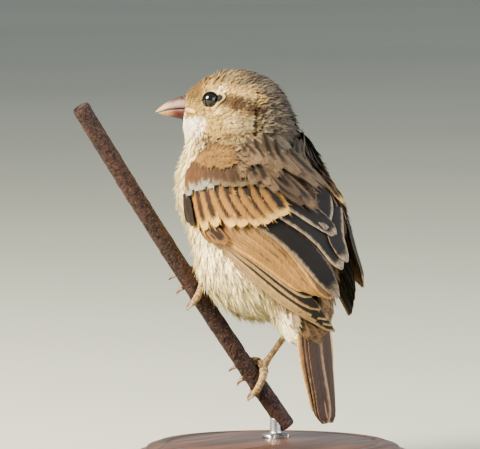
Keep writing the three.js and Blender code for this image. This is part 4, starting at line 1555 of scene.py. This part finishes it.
@dataclass(frozen=True)
class Toe:
    """One toe: its place on the pad, its spread, how far it and its claw wrap, and its way round."""

    name: str
    lean: float
    spread: float
    start: float
    wrap: float
    claw: float
    way: int
    pads: int


class Foot:
    """A bare leg: the scaled shank, the four toes round the perch and their claws."""

    GRIP = Perch.RADIUS + GAP + 1.1
    TARSUS, TOE, CLAW, FLARE = 1.0, 1.32, 0.62, 1.5
    TOES = (
        Toe("hallux", -0.6, -5.2, 0.3, 2.35, 0.75, 1, 2), Toe("inner", 1.9, 2.2, 0.2, 2.3, 0.7, -1, 3),
        Toe("middle", 0.0, -0.6, 0.2, 2.6, 0.75, -1, 4), Toe("outer", -1.9, -4.6, 0.2, 2.4, 0.9, -1, 5),
    )

    def __init__(self, leg: Leg, skin: bpy.types.Material, horn: bpy.types.Material) -> None:
        """Holds the leg's place and finishes."""
        self.leg, self.skin, self.horn = leg, skin, horn

    def _tint(self, points: Array, scute: Array) -> Array:
        """Colours the scales, darker in the grooves between them."""
        base = mix(linear("#886830"), linear("#684b29"), lumps(points, 2.2, 11))
        return mix(linear("#432e18"), base, scute)

    def _toe(self, toe: Toe) -> MeshParts:
        """Builds one toe with its joint pads and the scutes along its top."""
        leg = self.leg
        scutes = 5 * toe.pads

        def path(t: Array) -> Array:
            """Wraps the toe round the rod while it drifts along it."""
            turn = leg.turn + toe.way * (toe.start + (toe.wrap - toe.start) * t)
            return Perch.around(leg.at + toe.lean + toe.spread * t, turn, np.full(np.shape(t), self.GRIP))

        def radius(t: Array, w: Array) -> Array:
            """Swells under the joints and steps at each scute."""
            step = np.mod(t * scutes, 1.0)
            ridge = 0.07 * step**2 * smooth(np.cos(w), -0.2, 0.5)
            pad = 0.16 * np.abs(np.sin(math.pi * toe.pads * t)) * smooth(-np.cos(w), -0.3, 0.6)
            return self.TOE * (mix(1.0, 0.74, t) + ridge + pad) * (1 - 0.4 * smooth(t, 0.96, 1.0))

        body, t, w = tube(path, radius, 90, 24, Perch.DIRECTION)
        groove = smooth(np.mod(t * scutes, 1.0), 0.0, 0.35)
        return coloured(body, self._tint(body.points, groove))

    def _shank(self) -> MeshParts:
        """Builds the tarsus from the feathered ankle down to the pad, with overlapping scutes in front."""
        foot = Perch.around(self.leg.at, self.leg.turn, self.GRIP + 0.4)
        length = float(np.linalg.norm(foot - self.leg.ankle))
        scutes = length / 1.7

        def path(t: Array) -> Array:
            """Runs straight from the ankle to the foot."""
            return self.leg.ankle + (foot - self.leg.ankle) * np.asarray(t)[..., None]

        def radius(t: Array, w: Array) -> Array:
            """Widens at both ends and steps at each scute."""
            ends = 0.35 * (1 - smooth(t, 0, 0.22)) + 0.45 * smooth(t, 0.8, 1)
            return self.TARSUS * (1.02 + ends + 0.07 * np.mod(t * scutes, 1.0) ** 2)

        body, t, _ = tube(path, radius, 120, 28, LEFT)
        return coloured(body, self._tint(body.points, smooth(np.mod(t * scutes, 1.0), 0.0, 0.3)))

    def _pad(self) -> MeshParts:
        """Builds the ball of the foot, pebbled all over."""
        leg = self.leg
        centre = Perch.around(leg.at, leg.turn, self.GRIP + 0.35)
        out = unit(centre - Perch.at(leg.at))

        def path(t: Array) -> Array:
            """Runs 5.2 mm along the rod through the pad's middle."""
            return centre + Perch.DIRECTION * (2.6 * (2 * np.asarray(t) - 1))[..., None]

        def radius(t: Array, w: Array) -> Array:
            """Rounds the pad off at its ends and flattens it on the rod."""
            belly = np.sqrt(np.maximum(1 - (2 * t - 1) ** 2, 0.004))
            return belly / np.sqrt((np.cos(w) / 1.3) ** 2 + (np.sin(w) / 1.95) ** 2)

        body, _, _ = tube(path, radius, 30, 28, out)
        pebble = lumps(body.points, 0.5, 13)
        body.points = body.points + unit(body.points - centre) * (0.12 * pebble)[:, None]
        return coloured(body, self._tint(body.points, smooth(pebble, 0.2, 0.6)))

    def _claw(self, toe: Toe) -> MeshParts:
        """Builds one curved claw, dark along its ridge."""
        leg, slip = self.leg, toe.way * 0.03

        def path(t: Array) -> Array:
            """Carries the toe's wrap on, and stands off the rod in its middle."""
            turn = leg.turn + toe.way * (toe.wrap + toe.claw * t) + slip
            off = self.GRIP + self.FLARE * np.sin(math.pi * 0.7 * np.maximum(0, t))
            return Perch.around(leg.at + toe.lean + toe.spread * (1 + 0.22 * t), turn, off)

        def radius(t: Array, w: Array) -> Array:
            """Tapers the claw to its point, a little deeper than it is wide."""
            return self.CLAW * mix(1.0, 0.12, t) * (1 + 0.12 * np.cos(2 * w))

        body, t, w = tube(path, radius, 26, 16, Perch.DIRECTION)
        tint = mix(linear("#b39a80"), linear("#4c3b30"), smooth(t, 0.1, 1.0))
        return coloured(body, mix(tint, linear("#6f5a49"), smooth(np.cos(w), 0.3, 0.9)))

    def build(self) -> list[bpy.types.Object]:
        """Builds the leg and its claws."""
        name = self.leg.name
        parts = joined([self._shank(), self._pad()] + [self._toe(toe) for toe in self.TOES])
        claws = joined([self._claw(toe) for toe in self.TOES])
        claw_nodes = [f"claw_{name}_{toe.name}" for toe in self.TOES]
        return [make_object(f"leg_{name}", parts, self.skin, "leg_skin", [f"tarsus_{name}", f"foot_{name}"]),
                make_object(f"claws_{name}", claws, self.horn, "claw_horn", claw_nodes)]


@dataclass(frozen=True)
class ScaledSkin:
    """Bare leg skin, grown in horny scutes: dry, faintly waxy, with fine creases between the plates."""

    name: str = "scutes_of_the_leg"

    def make(self) -> bpy.types.Material:
        """Builds the material: plates of 0.5 mm with creases, over the carried colours."""
        m = Tree(self.name, Roughness=0.5, IOR=1.5, Specular_IOR_Level=0.4, Subsurface_Weight=0.05,
                 Subsurface_Scale=0.001)
        at = m.place_mm()
        plates = m.add("ShaderNodeTexVoronoi", {"feature": "DISTANCE_TO_EDGE"}, {"Vector": at},
                       Scale=1.6).outputs[0]
        crease = m.ramp(plates, 0.0, 0.12)
        colour = m.blend(m.sums("SUBTRACT", 1.0, crease), m.attribute("tint"), linear("#5d4634"))
        colour = m.blend(m.ramp(m.noise(at, 0.6), 0.4, 0.7, 0.0, 0.35), colour, linear("#e0c89c"))
        return m.feed(Base_Color=colour, Normal=m.bump(crease, 0.06))


@dataclass(frozen=True)
class Horn:
    """Beak and claw keratin, grown in thin layers: a satin surface with fine lines along its growth."""

    name: str
    roughness: float = 0.42

    def make(self) -> bpy.types.Material:
        """Builds the material: streaks about 0.3 mm wide over the carried colours."""
        m = Tree(self.name, IOR=1.55, Specular_IOR_Level=0.22, Subsurface_Weight=0.08,
                 Subsurface_Scale=0.0008)
        at = m.place_mm()
        streaks, cloud = m.noise(at, 0.22, 3.0, 0.6), m.noise(at, 1.2, 2.0)
        shade = m.sums("MULTIPLY", m.ramp(streaks, 0.35, 0.75, 1.1, 0.72),
                       m.ramp(cloud, 0.35, 0.7, 0.88, 1.15))
        grey = m.add("ShaderNodeCombineXYZ", None, {0: shade, 1: shade, 2: shade}).outputs[0]
        colour = m.blend(1.0, m.attribute("tint"), grey, "MULTIPLY")
        return m.feed(Base_Color=colour,
                      Roughness=m.ramp(streaks, 0.3, 0.7, self.roughness, self.roughness + 0.18),
                      Normal=m.bump(streaks, 0.03))


# ---------------------------------------------------------------- bill


@dataclass(frozen=True)
class Bill:
    """The conical bill: two halves of horn with nostrils, and the soft gape behind its corners."""

    length: float = 12.2
    width: float = 8.2
    culmen: float = 4.3
    gonys: float = 4.2

    def point(self, along: Array, side: Array, over: Array) -> Array:
        """Gives points from their parts along the bill, to the left and over its middle."""
        return BILL_ROOT + BILL_TIPWARD * along[...,
                                                None] + HEAD_LEFT * side[...,
                                                                         None] + BILL_OVER * over[..., None]

    def half(self, upper: bool, horn: bpy.types.Material) -> bpy.types.Object:
        """Builds one half of the bill.

        Args:
            upper: Whether it is the upper half.
            horn: Its finish.

        Returns:
            The piece.
        """
        way = 1 if upper else -1
        length = self.length if upper else self.length - 0.8
        tall, power = (self.culmen, 1.7) if upper else (self.gonys, 1.35)
        rows, arc, flat = 60, 48, 16
        t, k = np.meshgrid(np.linspace(0, 1, rows + 1), np.arange(arc + flat), indexing="ij")
        top = k <= arc
        angle = np.where(top, k / arc * math.pi, math.pi)
        inner = np.where(top, 0.0, (k - arc) / flat)
        wide = (self.width / 2) * np.maximum(1 - t**1.25, 0) ** 0.92 + 0.12
        high = tall * np.maximum(1 - t**power, 0) ** 0.9 + 0.12
        gape = 0.5 * np.sin(math.pi * t) - 0.35 * t
        lip = 0.16 * (1 - smooth(np.sin(angle), 0.0, 0.22)) * smooth(t, 0.02, 0.2) * (1 - t)
        side = np.where(top, np.cos(angle), -1 + 2 * inner) * (wide + np.where(top, lip, lip))
        lift = np.where(top, np.maximum(np.sin(angle), 0) ** 0.85 * high, 0.0)
        nostril = np.zeros_like(t)
        if upper:
            for at in (math.radians(56), math.pi - math.radians(56)):
                near = np.hypot((t * length - 2.1) / 0.75, (angle - at) * high / 0.42)
                nostril = np.maximum(nostril, (1 - smooth(near, 0.5, 1.0)) * top)
        lift = lift - 0.5 * nostril
        side = side * (1 - 0.12 * nostril)
        ring = 0.035 * np.sin(t * length * 4.2) * (1 - t) * top
        points = self.point(t * length, side, gape + way * (lift + GAP / 2 + ring * (lift > 0.3)))
        faces = grid_faces(rows + 1, arc + flat, True)
        faces = np.vstack([faces[:, [0, 1, 2]], faces[:, [0, 2, 3]]])
        if not upper:
            faces = faces[:, ::-1]
        t, angle, nostril = t.ravel(), angle.ravel(), nostril.ravel()
        ridge, edge = smooth(np.sin(angle), 0.35, 0.85), 1 - smooth(np.sin(angle), 0.04, 0.26)
        if upper:
            tint = mix(linear("#806052"), linear("#a88a5c"), smooth(t, 0.4, 0.85))
            tint = mix(tint, linear("#2b2322"), 0.9 * ridge * (1 - smooth(t, 0.4, 0.9)))
            tint = mix(tint, linear("#3d2420"), 0.8 * (1 - smooth(t, 0.0, 0.28)))
            tint = mix(tint, linear("#1c0b07"), 0.95 * edge * (1 - smooth(t, 0.7, 0.95)))
            tint = mix(tint, linear("#0f0907"), nostril)
        else:
            tint = mix(linear("#5c3430"), linear("#9a7048"), smooth(t, 0.4, 0.7))
            heart = np.exp(-((t - 0.32) / 0.24) ** 2) * smooth(np.sin(angle), 0.02, 0.3)
            tint = mix(tint, linear("#3a110a"), heart)
            tint = mix(tint, linear("#2a120b"),
                       0.85 * smooth(np.sin(angle), 0.5, 0.9) * (1 - smooth(t, 0.5, 0.9)))
        name = "bill_upper" if upper else "bill_lower"
        parts = coloured(MeshParts(points.reshape(-1, 3), faces), tint)
        return make_object(f"{name}_horn", parts, horn, "bill_horn", [name])

    def gape_fold(self, finish: bpy.types.Material) -> bpy.types.Object:
        """Builds the swollen skin behind both corners of the bill."""
        def radius(t: Array, w: Array) -> Array:
            """Swells behind the corner and thins out in the cheek."""
            return 0.35 + 0.55 * np.sin(math.pi * np.clip(0.12 + t * 0.86, 0, 1))

        made = []
        for side in (1, -1):
            corner = self.point(np.array(1.2), np.array(side * 3.7), np.array(0.05))
            back = [corner] + [FORM.settle(in_head(f, side * l, u)[None])[0][0] + HEAD_LEFT * side * 0.1
                               for f, l, u in ((10.2, 4.8, -3.1), (8.8, 5.8, -3.6), (7.6, 6.5, -4.1))]
            body, t, w = tube(partial(bend, back), radius, 40, 20, UP)
            tint = mix(linear("#b07e6a"), linear("#f0b53c"), smooth(t, 0.4, 0.7))
            made.append(coloured(body, mix(tint, linear("#7a4330"), smooth(-np.cos(w), 0.7, 1.0) * (1 - t))))
        return make_object("gape_folds", joined(made), finish, "bill_horn")

    def build(self) -> list[bpy.types.Object]:
        """Builds both halves and the gape."""
        horn = Horn("bill_keratin").make()
        return [self.half(True, horn), self.half(False, horn), self.gape_fold(Horn("gape_skin", 0.45).make())]


# ---------------------------------------------------------------- eyes


@dataclass(frozen=True)
class WetEye:
    """A living eye: a near-black brown iris round its pupil, under a clear wet cornea."""

    name: str = "wet_cornea"

    def make(self) -> bpy.types.Material:
        """Builds the material from the carried iris and pupil, with the cornea as a clear coat."""
        m = Tree(self.name, Roughness=0.08, IOR=1.376, Specular_IOR_Level=0.2, Coat_Weight=1.0,
                 Coat_Roughness=0.02, Coat_IOR=1.5)
        fibres = m.noise(m.place_mm(), 0.15, 2.0)
        colour = m.blend(m.ramp(fibres, 0.35, 0.7, 0.0, 0.5), m.attribute("tint"), linear("#0b0605"))
        return m.feed(Base_Color=colour)


class Eyes:
    """Both eyes, in their lids."""

    def ball(self, side: int, finish: bpy.types.Material) -> bpy.types.Object:
        """Builds one eyeball."""
        centre = in_head(EYE_AT[0], side * EYE_AT[1], EYE_AT[2])
        rows, around = 48, 64
        tilt, turn = np.meshgrid(np.linspace(0.002, math.pi - 0.002, rows + 1),
                                 np.linspace(0, math.tau, around, endpoint=False), indexing="ij")
        bulge = EYE_RADIUS + 0.1 * (1 - smooth(tilt, 0.3, 0.7))
        ring = HEAD_FORWARD * np.cos(turn)[..., None] + UP * np.sin(turn)[..., None]
        points = centre + (HEAD_LEFT * side * np.cos(tilt)[..., None] + ring
                           * np.sin(tilt)[..., None]) * bulge[..., None]
        faces = grid_faces(rows + 1, around, True)
        faces = faces if side < 0 else faces[:, ::-1]
        iris = smooth(tilt, 0.36, 0.42) * (1 - smooth(tilt, 0.85, 1.0))
        tint = mix(linear("#020101"), linear("#070403"), iris.ravel())
        name = "left" if side > 0 else "right"
        parts = coloured(MeshParts(points.reshape(-1, 3), faces), tint)
        return make_object(f"eyeball_{name}", parts, finish, "eye", [f"eye_{name}"])

    def lids(self, side: int, finish: bpy.types.Material) -> bpy.types.Object:
        """Builds the lids as one fold round the eye, drawn out behind into a dark corner."""
        centre = in_head(EYE_AT[0], side * EYE_AT[1], EYE_AT[2])
        around = 96
        turn = np.linspace(0, math.tau, around, endpoint=False)
        rear = np.exp(-((np.mod(turn - math.radians(180) + math.pi, math.tau) - math.pi) / 0.3) ** 2)
        open_by = 2.4 - 0.1 * np.abs(np.sin(turn)) ** 1.5
        middle = centre + UP * 0.3
        rows = []
        tints = []
        dark, pale, rim = linear("#080504"), linear("#cdb88a"), linear("#120b08")
        above = smooth(np.cos(turn - math.radians(128)), 0.3, 0.9)
        below = smooth(np.cos(turn + math.radians(112)), 0.2, 0.9)
        pale_share = np.clip(above + 0.8 * below, 0, 1)
        rings = ((0.0, 0.12, 0.0), (0.10, 0.26, 0.0), (0.30, 0.26, 0.1), (0.5, 0.2, 1.0), (0.85, 0.0, 1.0),
                 (1.3, -0.5, 0.5), (1.9, -1.3, 0.2))
        for k, (grow, drop, shade) in enumerate(rings):
            out = open_by + grow + 1.5 * rear * min(1.0, k / 3)
            flat = np.minimum(out, EYE_RADIUS * 0.985)
            height = np.sqrt(EYE_RADIUS**2 - flat**2) + drop - 0.5 * np.maximum(out - 2.7, 0)
            ring = middle + (HEAD_FORWARD * np.cos(turn)[:, None] + UP * np.sin(turn)[:, None]) * out[:, None]
            skin, _ = FORM.settle(ring + HEAD_LEFT * side * 1.5)
            row = mix(ring + HEAD_LEFT * side * height[:, None], skin + HEAD_LEFT * side * (0.25 - 0.16 * k),
                      smooth(out, 2.5, 3.3))
            rows.append(row)
            colour = mix(np.tile(rim if k < 4 else linear("#8f7446"), (around, 1)), pale, pale_share * shade)
            tints.append(mix(colour, dark, np.clip(rear * 3.2 * (k < 5), 0, 1)))
        faces = grid_faces(len(rows), around, True)
        faces = faces if side > 0 else faces[:, ::-1]
        parts = coloured(MeshParts(np.vstack(rows), faces), np.vstack(tints))
        return make_object(f"lids_{'left' if side > 0 else 'right'}", parts, finish, "plumage")

    def build(self) -> list[bpy.types.Object]:
        """Builds the eyes and lids."""
        wet, skin = WetEye().make(), Horn("lid_skin", 0.75).make()
        return [self.ball(1, wet), self.ball(-1, wet), self.lids(1, skin), self.lids(-1, skin)]


# ---------------------------------------------------------------- the display stand


@dataclass(frozen=True)
class StainedWood:
    """Walnut, turned on a lathe, stained and waxed: brown with darker growth rings and open pores."""

    name: str = "turned_walnut"

    def make(self) -> bpy.types.Material:
        """Builds the material: growth rings about 3 mm apart and pores of 0.2 mm along the grain."""
        m = Tree(self.name, IOR=1.5, Coat_Weight=0.25, Coat_Roughness=0.25)
        at = m.place_mm()
        warp = m.add("ShaderNodeVectorMath", {"operation": "MULTIPLY"},
                     {0: at, 1: (0.12, 1.0, 1.0)}).outputs[0]
        bands, pores = m.noise(warp, 2.6, 4.0), m.noise(warp, 0.25, 2.0)
        colour = m.blend(m.ramp(bands, 0.35, 0.65), linear("#4f3323"), linear("#2a1910"))
        colour = m.blend(m.ramp(pores, 0.58, 0.72, 0.0, 0.6), colour, linear("#170d08"))
        return m.feed(Base_Color=colour, Roughness=m.ramp(bands, 0.3, 0.7, 0.34, 0.46),
                      Normal=m.bump(pores, 0.04))


@dataclass(frozen=True)
class BrushedSteel:
    """Stainless rod, brushed round its axis: grey metal with fine rings that spread the highlights."""

    name: str = "brushed_stainless"

    def make(self) -> bpy.types.Material:
        """Builds the material: brush lines about 0.15 mm apart round the rod."""
        m = Tree(self.name, Metallic=1.0)
        at = m.place_mm()
        round_it = m.add("ShaderNodeVectorMath", {"operation": "MULTIPLY"},
                         {0: at, 1: (0.1, 0.1, 1.0)}).outputs[0]
        lines = m.noise(round_it, 0.15, 2.0)
        colour = m.blend(m.ramp(lines, 0.3, 0.7), linear("#9c9da0"), linear("#b7b8ba"))
        return m.feed(Base_Color=colour, Roughness=m.ramp(lines, 0.3, 0.7, 0.28, 0.42),
                      Normal=m.bump(lines, 0.01))


class Stand:
    """A turned wooden base with one short steel rod up to the perch."""

    RADIUS, THICKNESS, ROD = 47.0, 8.0, 2.0

    def lathe(self, centre: Array, profile: Sequence[tuple[float, float]], around: int = 160) -> MeshParts:
        """Turns a profile of radius and height round an upright axis."""
        r, z = np.array(profile).T
        turn = np.linspace(0, math.tau, around, endpoint=False)
        points = np.stack([centre[0] + np.cos(turn)[None] * r[:, None],
                           centre[1] + np.sin(turn)[None] * r[:, None],
                           np.broadcast_to(centre[2] + z[:, None], (len(r), around))], -1).reshape(-1, 3)
        return MeshParts(points, grid_faces(len(r), around, True))

    def build(self) -> list[bpy.types.Object]:
        """Builds the base and the rod."""
        r, h = self.RADIUS, self.THICKNESS
        bow = [(r - 3 + 3 * math.cos(a), 2.6 + 2.4 * math.sin(a)) for a in np.linspace(-0.9, 1.45, 14)]
        cove = [(r - 4.2 - 2.2 * (1 - math.cos(a)), 5.2 + 2.0 * math.sin(a)) for a in np.linspace(0, 1.5, 8)]
        groove = [(r - 11.0, h), (r - 11.6, h - 0.5), (r - 12.4, h - 0.5), (r - 13.0, h)]
        profile = [(0.01, 0.0), (r - 2.5, 0.0), *bow, *cove, (r - 7.6, h - 0.5), (r - 8.4, h), *groove,
                   (0.01, h)]
        floor_at = np.array([0, 0, 0]) - TRUNK_CENTRE
        base = make_object("stand_base_turned", self.lathe(floor_at, profile), StainedWood().make(),
                           "stand_wood", ["stand_base"])
        foot = Perch.at(-15.0)
        foot = np.array([foot[0], foot[1], floor_at[2] + h])
        rim = [(self.ROD + 2.6, -0.1), (self.ROD + 2.6, 0.9), (self.ROD + 2.2, 1.3), (self.ROD + 0.35, 1.5),
               (self.ROD, 1.7)]
        upper = [(self.ROD, z) for z in np.linspace(2.2, 12, 24)]
        rod = self.lathe(foot, [(0.01, -0.1), *rim, *upper, (0.01, 12)], 64)
        climb = np.linspace(0.0, 12.0, 121)
        column = np.stack([rod.points - UP * (rod.points[:, [2]] - foot[2] - z) for z in climb], 1)
        meets = np.argmax(Perch.distance(column.reshape(-1, 3)).reshape(len(rod.points), -1) < 0.15, axis=1)
        rod.points[:, 2] = np.minimum(rod.points[:, 2], foot[2] + climb[meets])
        rod = make_object("stand_rod_brushed", rod, BrushedSteel().make(), "stand_steel", ["stand_rod"])
        return [base, rod]


# ---------------------------------------------------------------- the studio


class Studio:
    """A pale floor, soft light from the upper left of the camera, and the camera."""

    TURN, HEIGHT = math.radians(38), math.radians(4)
    DISTANCE, WIDE = 2000.0, 160.0
    AIM = (-6.0, -3.17)

    def __init__(self) -> None:
        """Works out the camera's own directions."""
        a, e = self.TURN, self.HEIGHT
        self.back = np.array([math.cos(a) * math.cos(e), math.sin(a) * math.cos(e), math.sin(e)])
        self.right = np.array([-math.sin(a), math.cos(a), 0.0])
        self.up = np.cross(self.back, self.right)

    def _aimed(self, thing: bpy.types.Object, at: Array, to: Array) -> None:
        """Puts a camera or lamp at a point and aims it, both in millimetres from the trunk's centre."""
        thing.location = Vector((at + TRUNK_CENTRE) * MM)
        thing.rotation_euler = Vector((to - at).tolist()).to_track_quat("-Z", "Y").to_euler()
        bpy.context.scene.collection.objects.link(thing)

    def camera(self) -> None:
        """Sets the camera two metres off, with a long lens."""
        lens = bpy.data.cameras.new("camera")
        lens.sensor_width, lens.lens = 36.0, 36.0 * self.DISTANCE / self.WIDE
        lens.clip_end = 100.0
        camera = bpy.data.objects.new("camera", lens)
        target = self.right * self.AIM[0] + self.up * self.AIM[1]
        self._aimed(camera, target + self.back * self.DISTANCE, target)
        bpy.context.scene.camera = camera

    def lamp(self, name: str, toward: tuple[float, float, float], distance: float, size: float, power: float,
             colour: str) -> None:
        """Adds one soft lamp, placed by its parts to the camera's right, up and back."""
        light = bpy.data.lights.new(name, "AREA")
        light.shape, light.size, light.energy = "DISK", size * MM, power
        light.color = linear(colour)
        way = unit(self.right * toward[0] + self.up * toward[1] + self.back * toward[2])
        self._aimed(bpy.data.objects.new(name, light), way * distance, np.zeros(3))

    def build(self) -> None:
        """Lays the floor and lights it."""
        world = bpy.data.worlds.new("studio_air")
        bpy.context.scene.world = world
        world.use_nodes = True
        air = world.node_tree.nodes["Background"]
        air.inputs[0].default_value, air.inputs[1].default_value = (*linear("#dfe6ea"), 1.0), 0.62
        self.lamp("key", (-1.0, 0.75, 0.6), 1300.0, 850.0, 130.0, "#fff0d6")
        self.lamp("fill", (0.9, 0.25, 0.8), 1500.0, 1200.0, 18.0, "#eef3ff")
        self.lamp("edge", (1.0, 0.35, 0.05), 1400.0, 900.0, 26.0, "#eef1f6")
        side = 20000.0
        corners = np.array([[-side, -side, 0], [side, -side, 0], [side, side, 0],
                            [-side, side, 0]]) - TRUNK_CENTRE
        m = Tree("pale_paper_floor", Roughness=0.9, Specular_IOR_Level=0.1)
        cloud = m.noise(m.place_mm(), 300.0, 2.0)
        paper = m.feed(Base_Color=m.blend(m.ramp(cloud, 0.3, 0.7), linear("#a4a99f"), linear("#aaafa5")))
        make_object("floor", MeshParts(corners, np.array([[0, 1, 2, 3]])), paper)
        self.camera()


def main() -> None:
    """Builds the sparrow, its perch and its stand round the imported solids."""
    logging.basicConfig(level=logging.INFO, format="%(message)s")
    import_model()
    rng = np.random.default_rng(20)
    Studio().build()
    soft = Plumage("body_plumage", 0.2, 0.24, 0.0, 0.82, 0.06, 0.25, 0.6).make()
    covert = Plumage("covert_plumage", 0.2, 0.2, 0.15, 0.78, 0.05, 0.3, 0.35).make()
    flight = Plumage("flight_feather_vane", 0.22, 0.22, 0.4, 0.7, 0.04, 0.2, 0.08).make()
    made = Coat(rng, soft).build()
    for plate in WINGS:
        made += Wing(plate, rng, flight, covert).build()
    made.append(Tail(rng, flight).build())
    leg_skin, claw = ScaledSkin().make(), Horn("claw_keratin", 0.35).make()
    for leg in LEGS:
        made += Foot(leg, leg_skin, claw).build()
    made += [*Bill().build(), *Eyes().build(), Perch().build(), *Stand().build()]
    for piece in made:
        LOG.info("%s: %d faces", piece.name, len(piece.data.polygons))


if __name__ == "__main__":
    main()
